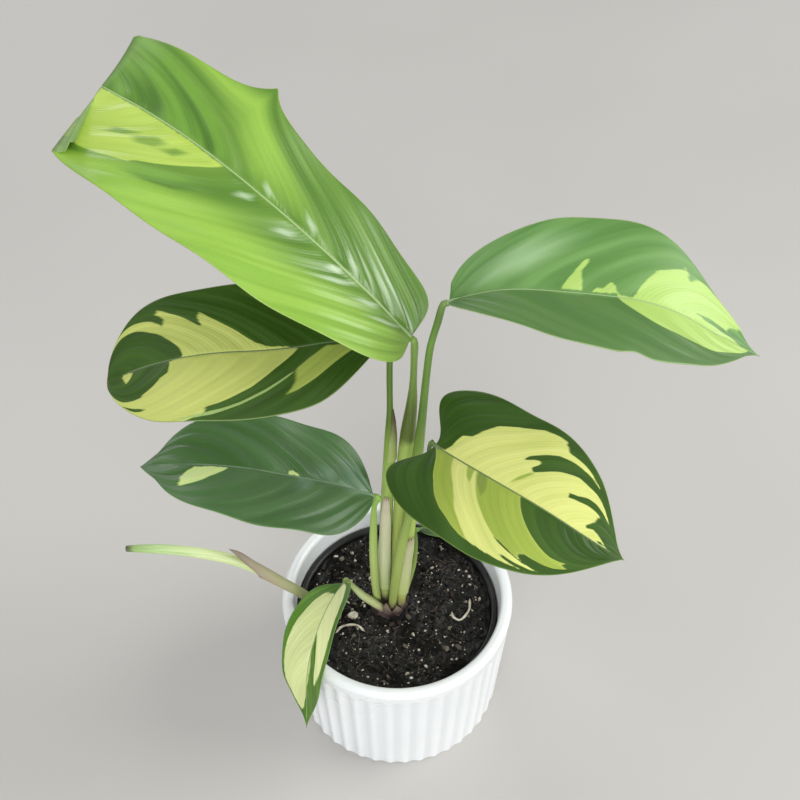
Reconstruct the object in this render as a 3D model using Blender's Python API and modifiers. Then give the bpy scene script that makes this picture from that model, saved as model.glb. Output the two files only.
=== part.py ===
"""Potted calathea: a fluted ceramic pot, a grow pot with soil, seven leaves on stems and a rolled new leaf.

Origin at the middle of the pot's foot, +Z up, metres. The photo looks from -Y, from above.
Driving dimensions below are millimetres and degrees; mm() turns them into metres.
"""
import math

import bpy
import numpy as np

# ceramic pot
POT_RIM_R = 67.0
POT_FOOT_R = 62.2
POT_H = 95.0
POT_MOUTH_R = 60.2
POT_INNER_FOOT_R = 54.5
POT_FLOOR = 6.0
FLUTES = 42
FLUTE_DEPTH = 1.3
FLUTE_TOP = 84.0

# grow pot and soil
GROW_RIM_R = 58.4
GROW_FOOT_R = 46.0
GROW_TOP = 81.5
GROW_WALL = 1.6
GAP = 0.35
SOIL_TOP = 78.0
SOIL_LUMP = 1.6
SOIL_R = GROW_RIM_R - GROW_WALL - 1 - 2 * GAP

# crown, an oval knob in a plain hole of the soil
CROWN_X = -4.4
CROWN_Y = 0.2
CROWN_R = 12.0
CROWN_OVAL = 0.84
CROWN_TOP = 83.0
CROWN_DEPTH = 12.0

# leaves
BLADE = 0.8
STATIONS = (0.0, 0.25, 0.5, 0.75, 1.0)
TIP_HALF_W = 1.0

LEAVES = {
    "tall_leaf": dict(
        base=(6, 0, 308), heading=153, turn=-11, slopes=(43, 34, 24, 5, 11), length=224,
        roll=(13, -23), width=80, widest=0.46, foot=(1.56, 0.22), tip=(1.58, 0.46),
        left=(-2, -5, 1.09), right=(-3, -6, 1.0), cup=17, lobe=1, fold=(0.80, 0.04, 80),
        corner=(0.35, 0.54, 0.04), wave=(1.2, 4, 0.5), grid=(30, 10)),
    "right_leaf": dict(
        base=(22.5, -5, 334.5), heading=-5, turn=2, slopes=(33, 0, -5, -35, -28), length=147,
        roll=(-10, 7), width=72, widest=0.47, foot=(1.31, 0.62), tip=(1.37, 1.38),
        left=(19, 1, 1.04), right=(6, -5, 1.0), cup=18, lobe=1, wave=(0.8, 3, 0.2), grid=(22, 8)),
    "middle_leaf": dict(
        base=(-6, 0, 304.5), heading=188, turn=-2, slopes=(18, -6, 5, -10, -34), length=128,
        roll=(-5, -3), width=66, widest=0.47, foot=(1.42, 0.96), tip=(1.88, 0.61),
        left=(-4, -7, 1.04), right=(15, 3, 1.0), cup=5, lobe=0, wave=(0.8, 3, 2.0), grid=(22, 8)),
    "lower_leaf": dict(
        base=(-12, -9, 201), heading=187, turn=-6, slopes=(40, 24, 23, 7, -9), length=121,
        roll=(-3, 11), width=63, widest=0.43, foot=(1.61, 0.70), tip=(1.77, 1.0),
        left=(0, -5, 1.05), right=(13, 1, 1.0), cup=-1, lobe=0, wave=(0.9, 3, 1.0), grid=(22, 8)),
    "front_leaf": dict(
        base=(17.5, -33, 271.5), heading=-47, turn=27, slopes=(13, 10, 1, -18, -23), length=102,
        roll=(10, 8), width=69, widest=0.29, foot=(1.51, 0.39), tip=(1.82, 1.29),
        left=(16, 1, 0.99), right=(-4, -7, 1.0), cup=4, lobe=16, wave=(0.7, 3, 2.6), grid=(22, 10)),
    "rim_leaf": dict(
        base=(-30, -4.5, 112), heading=-116, turn=17, slopes=(29, -18, -59, -86, -67), length=108,
        roll=(20, 7), width=36, widest=0.37, foot=(1.60, 0.75), tip=(1.0, 1.32),
        left=(27, 5, 1.0), right=(12, -2, 1.0), cup=-4, lobe=1.4, wave=(0.5, 4, 0.0), grid=(20, 6)),
    "small_leaf": dict(
        base=(12.5, 9.5, 145), heading=12, turn=-8, slopes=(22, 8, -2, -10, -18), length=62,
        roll=(-4, 0), width=30, widest=0.45, foot=(1.5, 0.7), tip=(1.5, 1.1),
        left=(10, 0, 1.0), right=(8, 0, 1.0), cup=5, lobe=1, wave=(0.4, 3, 0.0), grid=(14, 6)),
}

# stems, each point (x, y, z, radius), from the crown up; KNEE and JOIN lead on into the blade's foot
STEMS = {
    "tall_stem": ((-1, 4.5, 83.4, 2.8), (0, 4.5, 122, 3.6), (2.5, 4, 180, 4), (5, 3.5, 231, 3.5),
                  (7, 3, 258, 2.6), (7.7, 2.5, 275, 1.7), (8, 2, 292, 1.5)),
    "right_stem": ((2, -1, 83.4, 2.3), (4.5, -1.5, 131, 2.9), (8, -2.5, 188, 2.6), (10.5, -3, 230, 2),
                   (12.2, -3, 258, 1.5), (13.5, -3.5, 284, 1.5), (15, -4, 305, 1.5),
                   (18, -4.5, 322, 1.4)),
    "middle_stem": ((-7, 3.5, 83.4, 2.6), (-7.2, 3.8, 123, 3.2), (-5.6, 3.8, 176, 3.4),
                    (-3.6, 3.2, 231, 2.8), (-3.4, 2.5, 255, 1.6), (-3.4, 2, 280, 1.5),
                    (-3.2, 1.4, 294, 1.4)),
    "lower_stem": ((-11.5, 1, 83.4, 2.2), (-12.7, -2.5, 111, 2.4), (-13, -6, 146, 2.3),
                   (-12.6, -7.5, 172, 1.9), (-11.8, -8.3, 191, 1.4)),
    "front_stem": ((-3.2, -2.2, 83.4, 2.3), (-0.6, -5.6, 121, 2.7), (3, -10.5, 163, 2.4),
                   (8.5, -20, 212, 1.7), (13.5, -27, 248, 1.4)),
    "rim_stem": ((-9, -4.5, 84, 2), (-10.2, -4.8, 87, 2.3), (-14.6, -5.2, 93, 2.4), (-20.4, -5, 100, 2.2),
                 (-25.4, -3.4, 106.5, 1.6)),
    "small_stem": ((3.4, 3.2, 83.4, 1.5), (6.2, 5.2, 96, 1.5), (9.6, 7.4, 114, 1.3),
                   (10.4, 8.6, 132, 1.2)),
}

KNEE = 3.0
JOIN = 0.6

# rolled new leaf on its stalk, and the sheath round its lower part
ROLL = ((-36, -5, 68, 1.8), (-40, -5, 78, 1.8), (-46, -4.8, 89, 1.9), (-56, -4.2, 101.5, 2.0),
        (-66, -3.2, 110.5, 2.2), (-77, -1.2, 118.5, 2.6), (-87, 0.4, 124.6, 3.0),
        (-98, 2, 128.6, 3.3), (-113, 4, 130.4, 3.2), (-131, 6, 130.6, 2.7),
        (-144, 7.2, 129.4, 1.7), (-153.5, 8, 128.2, 0.6))
SHEATH = dict(start=0.17, end=0.50, point=0.08, gap=0.4, wall=0.7)

# dry membranes that wrap part of a stem: start and end along it, side angles in degrees
WRAPS = {
    "dry_sheath_left": dict(stem="middle_stem", span=(0.10, 0.46), sides=(185, 330), narrowing=0.35),
    "dry_sheath_right": dict(stem="right_stem", span=(0.09, 0.27), sides=(-75, 50), narrowing=0.5),
    "dry_tip": dict(stem="middle_stem", span=(0.69, 0.78), sides=(250, 380), narrowing=0.9),
}
WRAP_GAP = 0.4
WRAP_WALL = 0.6

# pale bits on the soil
PERLITE = (-26, -7, 2.6)
ROOTS = {
    "root_bit_front": (((-36, -18), (-32, -14.5), (-24, -14), (-19, -18)), 0.9),
    "root_bit_right": (((43, 5), (42, -4), (37, -10), (33, -8), (32, -4)), 0.9),
}


def mm(*values):
    """Millimetres to metres, one value or a tuple."""
    scaled = tuple(v * 0.001 for v in values)
    return scaled[0] if len(scaled) == 1 else scaled


def clearScene():
    for old in list(bpy.data.objects):
        bpy.data.objects.remove(old, do_unlink=True)


def newCollection(name):
    group = bpy.data.collections.new(name)
    bpy.context.scene.collection.children.link(group)
    return group


def material(name, color, roughness=0.5, metallic=0.0):
    made = bpy.data.materials.new(name)
    made.use_nodes = True
    shader = made.node_tree.nodes["Principled BSDF"]
    shader.inputs["Base Color"].default_value = (*color, 1.0)
    shader.inputs["Roughness"].default_value = roughness
    shader.inputs["Metallic"].default_value = metallic
    return made


def place(name, data, look, group):
    obj = bpy.data.objects.new(name, data)
    group.objects.link(obj)
    data.materials.clear()
    data.materials.append(look)
    return obj


def meshOf(name, points, faces):
    """Mesh from millimetre points and a face list."""
    mesh = bpy.data.meshes.new(name)
    mesh.from_pydata((np.asarray(points) * 0.001).tolist(), [], faces)
    mesh.update()
    return mesh


def bake(obj):
    """The object's evaluated shape becomes its own mesh, with no modifiers left."""
    graph = bpy.context.evaluated_depsgraph_get()
    shape = bpy.data.meshes.new_from_object(obj.evaluated_get(graph))
    obj.modifiers.clear()
    obj.data = shape
    return obj


def turned(name, profile, steps, look, group):
    """Solid turned about Z from (radius, height) points that run down the outer side."""
    points = [(r, 0.0, z) for r, z in profile]
    mesh = bpy.data.meshes.new(name)
    edges = [(i, i + 1) for i in range(len(points) - 1)]
    mesh.from_pydata([mm(*p) for p in points], edges, [])
    obj = place(name, mesh, look, group)
    screw = obj.modifiers.new("turn", "SCREW")
    screw.axis = "Z"
    screw.angle = math.tau
    screw.steps = steps
    screw.render_steps = steps
    screw.use_merge_vertices = True
    screw.merge_threshold = 0.00001
    return obj


def smooth(obj, angle=40.0):
    obj.data.shade_smooth()
    obj.data.set_sharp_from_angle(angle=math.radians(angle))


def solidify(obj, wall, offset):
    shell = obj.modifiers.new("wall", "SOLIDIFY")
    shell.thickness = mm(wall)
    shell.offset = offset
    shell.use_even_offset = False
    return shell


def cutFrom(obj, cutter):
    cut = obj.modifiers.new("hole", "BOOLEAN")
    cut.operation = "DIFFERENCE"
    cut.solver = "EXACT"
    cut.object = cutter
    cutter.hide_render = True
    cutter.display_type = "WIRE"


def spline(stations, count):
    """Smooth curve through the stations, evenly spaced along its length (Catmull-Rom)."""
    knots = np.asarray(stations, float)
    ends = np.vstack([2 * knots[0] - knots[1], knots, 2 * knots[-1] - knots[-2]])
    fine = []
    for i in range(len(knots) - 1):
        p0, p1, p2, p3 = ends[i:i + 4]
        t = np.linspace(0.0, 1.0, 17)[:-1, None]
        fine.append(0.5 * (2 * p1 + (p2 - p0) * t + (2 * p0 - 5 * p1 + 4 * p2 - p3) * t ** 2
                           + (3 * p1 - p0 - 3 * p2 + p3) * t ** 3))
    fine = np.vstack(fine + [knots[-1:]])
    run = np.concatenate([[0.0], np.cumsum(np.linalg.norm(np.diff(fine[:, :3], axis=0), axis=1))])
    even = np.linspace(0.0, run[-1], count)
    return np.column_stack([np.interp(even, run, fine[:, k]) for k in range(fine.shape[1])])


def tube(name, stations, count, look, group, sides=2):
    """Tapering stem: a poly curve with a round bevel whose radius follows the stations."""
    route = spline(stations, count)
    curve = bpy.data.curves.new(name, "CURVE")
    curve.dimensions = "3D"
    curve.bevel_depth = mm(1.0)
    curve.bevel_resolution = sides
    curve.use_fill_caps = True
    line = curve.splines.new("POLY")
    line.points.add(count - 1)
    for point, (x, y, z, radius) in zip(line.points, route):
        point.co = (*mm(x, y, z), 1.0)
        point.radius = radius
    return place(name, curve, look, group)


def halfWidth(s, leaf):
    """Half the blade's width at s, 0 at the foot and 1 at the tip: a cosine to a power each side."""
    wide = leaf["widest"]
    towardFoot = s < wide
    t = np.clip(np.where(towardFoot, (wide - s) / wide, (s - wide) / (1 - wide)), 0, 1)
    bend = np.where(towardFoot, leaf["foot"][0], leaf["tip"][0])
    power = np.where(towardFoot, leaf["foot"][1], leaf["tip"][1])
    half = 0.5 * leaf["width"] * np.maximum(np.cos(0.5 * np.pi * t ** bend), 0) ** power
    return np.maximum(half, TIP_HALF_W)


def midrib(leaf, s):
    """Points along the midrib with its forward, left and up directions."""
    slope = np.interp(s, STATIONS, leaf["slopes"])
    if "fold" in leaf:
        start, length, drop = leaf["fold"]
        slope = slope - drop * np.clip((s - start) / length, 0, 1)
    heading = leaf["heading"] + leaf["turn"] * s ** 1.5
    e, a = np.radians(slope), np.radians(heading)
    forward = np.column_stack([np.cos(e) * np.cos(a), np.cos(e) * np.sin(a), np.sin(e)])
    steps = 0.5 * (forward[1:] + forward[:-1]) * (np.diff(s) * leaf["length"])[:, None]
    route = np.vstack([np.zeros(3), np.cumsum(steps, axis=0)]) + leaf["base"]
    flat = np.column_stack([-np.sin(a), np.cos(a), np.zeros_like(a)])
    upright = np.cross(forward, flat)
    r = np.radians(leaf["roll"][0] + (leaf["roll"][1] - leaf["roll"][0]) * s)[:, None]
    left = flat * np.cos(r) + upright * np.sin(r)
    up = upright * np.cos(r) - flat * np.sin(r)
    return route, forward, left, up


def bladeSurface(leaf, s, across):
    """Grid of the blade's middle surface: rows along s, columns across from -1 right to 1 left."""
    fine = np.linspace(0, 1, 241)
    route, forward, left, up = (np.column_stack([np.interp(s, fine, part[:, k]) for k in range(3)])
                                for part in midrib(leaf, fine))
    half = halfWidth(s, leaf)
    flatten = np.minimum(1.0, half / 8.0)
    grid = np.zeros((len(s), len(across), 3))
    for column, u in enumerate(across):
        lift, curl, share = leaf["left"] if u > 0 else leaf["right"]
        v = np.linspace(0, abs(u), 9)
        rise = np.radians((lift + curl * v[None, :] + leaf["cup"] * np.exp(-s[:, None] / 0.15))
                          * flatten[:, None])
        out = np.trapz(np.cos(rise), v, axis=1)
        high = np.trapz(np.sin(rise), v, axis=1)
        reach = half * share
        if u < 0 and "corner" in leaf:
            size, at, spread = leaf["corner"]
            reach = reach * (1 + size * np.exp(-np.abs(s - at) / spread) * u * u)
        size, count, phase = leaf["wave"]
        ripple = size * u * u * flatten * np.sin(math.tau * (count * s + phase) + np.sign(u))
        sideways = np.clip((abs(u) * half - 3) / 12, 0, 1)
        back = leaf["lobe"] * sideways ** 1.5 * np.clip(1 - s / 0.35, 0, 1) ** 2
        grid[:, column] = (route + np.sign(u) * (reach * out)[:, None] * left
                           + (reach * high + ripple)[:, None] * up - back[:, None] * forward)
    return grid


def gridFaces(rows, columns, wrapped=False):
    """Triangles of a grid of points, every cell cut the same way."""
    faces = []
    for i in range(rows - 1):
        for j in range(columns if wrapped else columns - 1):
            a = i * columns + j
            b = i * columns + (j + 1) % columns
            c, d = b + columns, a + columns
            faces += [(a, b, c), (a, c, d)]
    return faces


def stemRoute(name):
    """A stem's stations, with the last two in line with the foot of its blade."""
    leaf = LEAVES[name.replace("_stem", "_leaf")]
    e, a = math.radians(leaf["slopes"][0]), math.radians(leaf["heading"])
    forward = np.array([math.cos(e) * math.cos(a), math.cos(e) * math.sin(a), math.sin(e)])
    thin = STEMS[name][-1][3]
    ends = tuple((*(np.array(leaf["base"]) - reach * forward), thin) for reach in (KNEE, JOIN))
    return STEMS[name] + ends


def blade(name, look, group):
    leaf = LEAVES[name]
    rows, columns = leaf["grid"]
    s = 0.5 - 0.5 * np.cos(np.linspace(0, np.pi, rows + 1))
    s = 0.45 * s + 0.55 * np.linspace(0, 1, rows + 1)
    points = bladeSurface(leaf, s, np.linspace(-1, 1, columns + 1))
    mesh = meshOf(name, points.reshape(-1, 3), gridFaces(rows + 1, columns + 1))
    obj = place(name, mesh, look, group)
    mesh.shade_smooth()
    solidify(obj, BLADE, 0.0)
    return obj


def around(stations, s, angle, gap):
    """Points at a side angle round a route, s from 0 to 1 along it; on an upright stem 0 is +X."""
    route = spline(stations, 161)
    fine = np.linspace(0, 1, 161)
    forward = np.gradient(route[:, :3], axis=0)
    forward /= np.linalg.norm(forward, axis=1)[:, None]
    first = np.cross((0.0, 1.0, 0.0), forward)
    first /= np.linalg.norm(first, axis=1)[:, None]
    second = np.cross(forward, first)
    middle, one, two = (np.stack([np.interp(s, fine, part[:, k]) for k in range(3)], axis=-1)
                        for part in (route, first, second))
    reach = (np.interp(s, fine, route[:, 3]) + gap)[..., None]
    turn = np.radians(angle)[..., None]
    return middle + reach * (np.cos(turn) * one + np.sin(turn) * two)


def wrap(name, look, group):
    """Dry membrane: a strip round part of a stem, narrower towards its upper end."""
    spec = WRAPS[name]
    t, u = np.meshgrid(np.linspace(0, 1, 9), np.linspace(-1, 1, 6), indexing="ij")
    low, high = spec["sides"]
    half = 0.5 * (high - low) * (1 - spec["narrowing"] * t * t)
    s = spec["span"][0] + (spec["span"][1] - spec["span"][0]) * t
    points = around(stemRoute(spec["stem"]), s, 0.5 * (low + high) + half * u, WRAP_GAP)
    obj = place(name, meshOf(name, points.reshape(-1, 3), gridFaces(9, 6)), look, group)
    obj.data.shade_smooth()
    solidify(obj, WRAP_WALL, 1.0)


def rolledSheath(look, group):
    """Open sleeve round the rolled leaf, cut slanting so that its upper side ends in a point."""
    t, turn = np.meshgrid(np.linspace(0, 1, 15), np.arange(0, 360, 30), indexing="ij")
    end = SHEATH["end"] + SHEATH["point"] * (0.5 + 0.5 * np.cos(np.radians(turn))) ** 2
    s = SHEATH["start"] + (end - SHEATH["start"]) * t
    points = around(ROLL, s, turn, SHEATH["gap"])
    mesh = meshOf("rolled_sheath", points.reshape(-1, 3), gridFaces(15, 12, wrapped=True))
    obj = place("rolled_sheath", mesh, look, group)
    mesh.shade_smooth()
    solidify(obj, SHEATH["wall"], 1.0)


def soilRelief(x, y):
    """Height of the soil above SOIL_TOP: broad lumps, a low mound at the crown, level at the edge."""
    lumps = np.sin(x / 7 + 1) * np.cos(y / 8) + 0.6 * np.sin((x + y) / 6 + 2)
    mound = 1.2 * np.exp(-((x - CROWN_X) ** 2 + (y - CROWN_Y) ** 2) / 700)
    fade = np.clip((SOIL_R - 1 - np.hypot(x, y)) / 8, 0, 1)
    return (0.5 * SOIL_LUMP * lumps + mound) * fade


def ceramicPot(look, group):
    profile = ((0, POT_FLOOR), (POT_INNER_FOOT_R - 3, POT_FLOOR), (POT_INNER_FOOT_R, POT_FLOOR + 3),
               (POT_MOUTH_R, POT_H - 2.5), (POT_MOUTH_R + 0.9, POT_H - 0.8), (POT_MOUTH_R + 3, POT_H),
               (POT_RIM_R - 1.6, POT_H - 0.2), (POT_RIM_R - 0.2, POT_H - 1.5), (POT_RIM_R, POT_H - 3.5),
               (POT_RIM_R - 0.3, FLUTE_TOP + 3), (POT_RIM_R - 0.5, FLUTE_TOP),
               (POT_RIM_R - 0.7, FLUTE_TOP - 4), (POT_FOOT_R, 1.2), (POT_FOOT_R - 1, 0), (0, 0))
    pot = bake(turned("ceramic_pot", profile, FLUTES * 4, look, group))
    pot.data.materials.clear()
    pot.data.materials.append(look)
    points = np.empty(len(pot.data.vertices) * 3)
    pot.data.vertices.foreach_get("co", points)
    points = points.reshape(-1, 3) * 1000
    radius = np.hypot(points[:, 0], points[:, 1])
    wall = POT_FOOT_R + (POT_RIM_R - POT_FOOT_R) * points[:, 2] / POT_H
    outer = (radius > wall - 2.5) & (points[:, 2] < FLUTE_TOP + 1)
    turn = np.arctan2(points[:, 1], points[:, 0])
    depth = FLUTE_DEPTH * np.clip((FLUTE_TOP - points[:, 2]) / 4, 0, 1) * (0.5 - 0.5 * np.cos(FLUTES * turn))
    points[:, :2] *= np.where(outer, 1 - depth / np.maximum(radius, 1), 1)[:, None]
    pot.data.vertices.foreach_set("co", (points * 0.001).ravel())
    pot.data.update()
    smooth(pot, 50)


def growPot(look, group):
    foot = POT_FLOOR + GAP
    profile = ((0, foot + GROW_WALL), (GROW_FOOT_R - GROW_WALL, foot + GROW_WALL),
               (GROW_RIM_R - GROW_WALL - 1, GROW_TOP), (GROW_RIM_R, GROW_TOP), (GROW_RIM_R, GROW_TOP - 5),
               (GROW_RIM_R - 1, GROW_TOP - 5.4), (GROW_FOOT_R, foot), (0, foot))
    smooth(turned("grow_pot", profile, 48, look, group))


def soil(look, group):
    """Soil body inside the grow pot, with an oval hole for the crown and a slanted one for the shoot."""
    foot = POT_FLOOR + 2 * GAP + GROW_WALL
    rings = [(SOIL_R * k / 11, SOIL_TOP) for k in range(12)]
    profile = rings + [(GROW_FOOT_R - GROW_WALL - GAP - 0.3, foot), (0, foot)]
    body = bake(turned("soil", profile, 44, look, group))
    points = np.empty(len(body.data.vertices) * 3)
    body.data.vertices.foreach_get("co", points)
    points = points.reshape(-1, 3) * 1000
    points[:, 2] += np.where(points[:, 2] > SOIL_TOP - 1, soilRelief(points[:, 0], points[:, 1]), 0)
    body.data.vertices.foreach_set("co", (points * 0.001).ravel())
    body.data.update()
    smooth(body, 60)
    return body


def holeCutter(name, radius, low, high, tilt, oval, group):
    """Upright or tilted cylinder from the point low to the height high, tilted about Y."""
    length = (high - low[2]) / math.cos(tilt)
    middle = (low[0] + 0.5 * length * math.sin(tilt), low[1], low[2] + 0.5 * length * math.cos(tilt))
    bpy.ops.mesh.primitive_cylinder_add(vertices=24, radius=mm(radius), depth=mm(length),
                                        location=mm(*middle), rotation=(0, tilt, 0))
    cutter = bpy.context.object
    cutter.name = name
    cutter.scale = (1, oval, 1)
    for owner in list(cutter.users_collection):
        owner.objects.unlink(cutter)
    group.objects.link(cutter)
    return cutter


def crown(look, group):
    """Oval knob with a level top that the stems stand on."""
    low = CROWN_TOP - CROWN_DEPTH
    profile = ((0, CROWN_TOP), (CROWN_R - 1.8, CROWN_TOP), (CROWN_R - 0.5, CROWN_TOP - 1),
               (CROWN_R, CROWN_TOP - 2.8), (CROWN_R, low + 2), (CROWN_R - 1, low), (0, low))
    knob = turned("crown", profile, 24, look, group)
    knob.location = mm(CROWN_X, CROWN_Y, 0)
    knob.scale = (1, CROWN_OVAL, 1)
    smooth(knob, 50)


def perlite(look, group):
    x, y, radius = PERLITE
    height = SOIL_TOP + soilRelief(x, y) + 0.8 * radius + GAP
    bpy.ops.mesh.primitive_ico_sphere_add(subdivisions=2, radius=mm(radius), location=mm(x, y, height))
    grain = bpy.context.object
    grain.name = "perlite_grain"
    grain.scale = (1.1, 0.9, 0.8)
    grain.rotation_euler = (0, 0, 0.6)
    for owner in list(grain.users_collection):
        owner.objects.unlink(grain)
    group.objects.link(grain)
    grain.data.materials.append(look)
    grain.data.shade_smooth()


def rootBit(name, look, group):
    """Pale root lying on the soil, arched a little at its middle."""
    places, radius = ROOTS[name]
    stations = []
    for i, (x, y) in enumerate(places):
        arch = 1.0 * math.sin(math.pi * i / (len(places) - 1))
        stations.append((x, y, SOIL_TOP + soilRelief(x, y) + radius + GAP + arch, radius))
    tube(name, stations, 14, look, group, sides=1)


def build():
    clearScene()
    parts = newCollection("potted_calathea")
    cutters = newCollection("cutters")
    glaze = material("ceramic_white", (0.86, 0.87, 0.86), 0.35)
    black = material("grow_pot_black", (0.02, 0.02, 0.022), 0.5)
    earth = material("soil_dark", (0.025, 0.02, 0.017), 0.95)
    brown = material("crown_brown", (0.13, 0.07, 0.07), 0.7)
    membrane = material("membrane", (0.36, 0.26, 0.2), 0.6)
    pale = material("pale_bits", (0.62, 0.58, 0.47), 0.8)
    ceramicPot(glaze, parts)
    growPot(black, parts)
    ground = soil(earth, parts)
    cutFrom(ground, holeCutter("crown_hole", CROWN_R + GAP, (CROWN_X, CROWN_Y, CROWN_TOP - CROWN_DEPTH - GAP),
                               CROWN_TOP + 6, 0.0, (CROWN_R * CROWN_OVAL + GAP) / (CROWN_R + GAP), cutters))
    lean = math.atan2(ROLL[1][0] - ROLL[0][0], ROLL[1][2] - ROLL[0][2])
    low = (ROLL[0][0], ROLL[0][1], ROLL[0][2] - GAP)
    cutFrom(ground, holeCutter("shoot_hole", ROLL[0][3] + GAP, low, CROWN_TOP + 6, lean, 1.0, cutters))
    crown(brown, parts)
    for name in LEAVES:
        shade = (0.06, 0.2, 0.05) if name in ("lower_leaf", "small_leaf", "middle_leaf") else (0.2, 0.42, 0.06)
        blade(name, material(name, shade, 0.35), parts)
    for name in STEMS:
        tube(name, stemRoute(name), 4 * len(STEMS[name]) + 4, material(name, (0.3, 0.42, 0.12), 0.45), parts)
    tube("rolled_leaf", ROLL, 40, material("rolled_leaf", (0.5, 0.6, 0.25), 0.45), parts)
    rolledSheath(membrane, parts)
    for name in WRAPS:
        wrap(name, membrane, parts)
    perlite(pale, parts)
    for name in ROOTS:
        rootBit(name, pale, parts)


build()
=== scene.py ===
import math

import bpy
import numpy as np
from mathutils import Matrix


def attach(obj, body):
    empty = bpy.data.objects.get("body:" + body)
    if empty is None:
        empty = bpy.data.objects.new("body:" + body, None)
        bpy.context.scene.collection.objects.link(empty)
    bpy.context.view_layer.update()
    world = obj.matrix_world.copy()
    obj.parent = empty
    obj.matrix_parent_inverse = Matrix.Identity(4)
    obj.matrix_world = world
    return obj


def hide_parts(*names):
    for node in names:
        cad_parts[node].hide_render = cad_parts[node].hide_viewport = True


print("loading the packed frame")
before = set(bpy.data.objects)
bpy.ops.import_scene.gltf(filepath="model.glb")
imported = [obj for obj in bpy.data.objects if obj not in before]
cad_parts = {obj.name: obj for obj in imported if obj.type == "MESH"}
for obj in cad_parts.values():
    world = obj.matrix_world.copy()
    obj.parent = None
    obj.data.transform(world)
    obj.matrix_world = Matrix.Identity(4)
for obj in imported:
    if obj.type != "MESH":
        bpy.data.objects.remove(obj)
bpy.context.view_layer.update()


# mesh tools; lengths are millimetres until a mesh is made

def gridQuads(rows, columns, wrapped=False, start=0):
    # quads of a rows by columns grid of points; wrapped joins the last column to the first
    i, j = np.meshgrid(np.arange(rows - 1), np.arange(columns if wrapped else columns - 1), indexing="ij")
    a = i * columns + j
    b = i * columns + (j + 1) % columns
    return start + np.stack([a, b, b + columns, a + columns], axis=-1).reshape(-1, 4)


def surface(name, points, faces, look, flatFrom=None):
    # mesh object from millimetre points and lists of corner numbers, smooth-shaded up to face flatFrom
    mesh = bpy.data.meshes.new(name)
    mesh.from_pydata((np.asarray(points) * 0.001).tolist(), [], faces)
    mesh.update()
    smooth = np.ones(len(faces), bool)
    smooth[len(faces) if flatFrom is None else flatFrom:] = False
    mesh.polygons.foreach_set("use_smooth", smooth)
    mesh.materials.append(look)
    obj = bpy.data.objects.new(name, mesh)
    bpy.context.scene.collection.objects.link(obj)
    return obj


def addAttribute(obj, name, values):
    # one number, or one group of three, for each point of the mesh
    values = np.asarray(values, float)
    single = values.ndim == 1
    made = obj.data.attributes.new(name, "FLOAT" if single else "FLOAT_VECTOR", "POINT")
    made.data.foreach_set("value" if single else "vector", values.ravel())


def declare(obj, slot, *nodes):
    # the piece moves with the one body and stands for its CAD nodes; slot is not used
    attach(obj, "root")
    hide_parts(*nodes)


def spline(stations, count):
    # smooth curve through the stations, evenly spaced along its length (Catmull-Rom)
    knots = np.asarray(stations, float)
    ends = np.vstack([2 * knots[0] - knots[1], knots, 2 * knots[-1] - knots[-2]])
    fine = []
    for i in range(len(knots) - 1):
        p0, p1, p2, p3 = ends[i:i + 4]
        t = np.linspace(0, 1, 17)[:-1, None]
        fine.append(0.5 * (2 * p1 + (p2 - p0) * t + (2 * p0 - 5 * p1 + 4 * p2 - p3) * t ** 2
                           + (3 * p1 - p0 - 3 * p2 + p3) * t ** 3))
    fine = np.vstack(fine + [knots[-1:]])
    run = np.concatenate([[0], np.cumsum(np.linalg.norm(np.diff(fine[:, :3], axis=0), axis=1))])
    even = np.linspace(0, run[-1], count)
    return np.column_stack([np.interp(even, run, fine[:, k]) for k in range(fine.shape[1])])


def routeFrame(route):
    # forward and the two side directions along a route; on an upright stem the first side is +X
    forward = np.gradient(route[:, :3], axis=0)
    forward /= np.linalg.norm(forward, axis=1)[:, None]
    first = np.cross((0, 1, 0), forward)
    first /= np.linalg.norm(first, axis=1)[:, None]
    return forward, first, np.cross(forward, first)


def ringTube(route, reach, sides):
    # rings of points round a route: centre + reach * (cos(turn) * first side + sin(turn) * second side),
    # reach is an array of rings by sides; closed at both ends by a fan to the ring's centre
    forward, first, second = routeFrame(route)
    turn = np.linspace(0, math.tau, sides, endpoint=False)
    side = np.cos(turn)[None, :, None] * first[:, None] + np.sin(turn)[None, :, None] * second[:, None]
    rings = route[:, None, :3] + reach[:, :, None] * side
    rows = len(route)
    points = np.vstack([rings.reshape(-1, 3), route[:1, :3], route[-1:, :3]])
    faces = gridQuads(rows, sides, wrapped=True).tolist()
    k = np.arange(sides)
    following = (k + 1) % sides
    low, high = rows * sides, rows * sides + 1
    faces += np.stack([following, k, np.full(sides, low)], axis=-1).tolist()
    top = (rows - 1) * sides
    faces += np.stack([top + k, top + following, np.full(sides, high)], axis=-1).tolist()
    return points, faces


def lattice(x, y, size, seed):
    # smooth noise from -1 to 1: random heights on a square lattice, joined by a smooth step
    heights = np.random.default_rng(seed).uniform(-1, 1, (64, 64))
    gx, gy = x / size + 31.7, y / size + 27.3
    ix, iy = np.floor(gx).astype(int), np.floor(gy).astype(int)
    fx, fy = gx - ix, gy - iy
    fx, fy = fx * fx * (3 - 2 * fx), fy * fy * (3 - 2 * fy)
    ix, iy, nx, ny = ix % 64, iy % 64, (ix + 1) % 64, (iy + 1) % 64
    low = heights[ix, iy] * (1 - fx) + heights[nx, iy] * fx
    high = heights[ix, ny] * (1 - fx) + heights[nx, ny] * fx
    return low * (1 - fy) + high * fy


def smoothStep(low, high, value):
    t = np.clip((value - low) / (high - low), 0, 1)
    return t * t * (3 - 2 * t)


# shader tools

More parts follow.
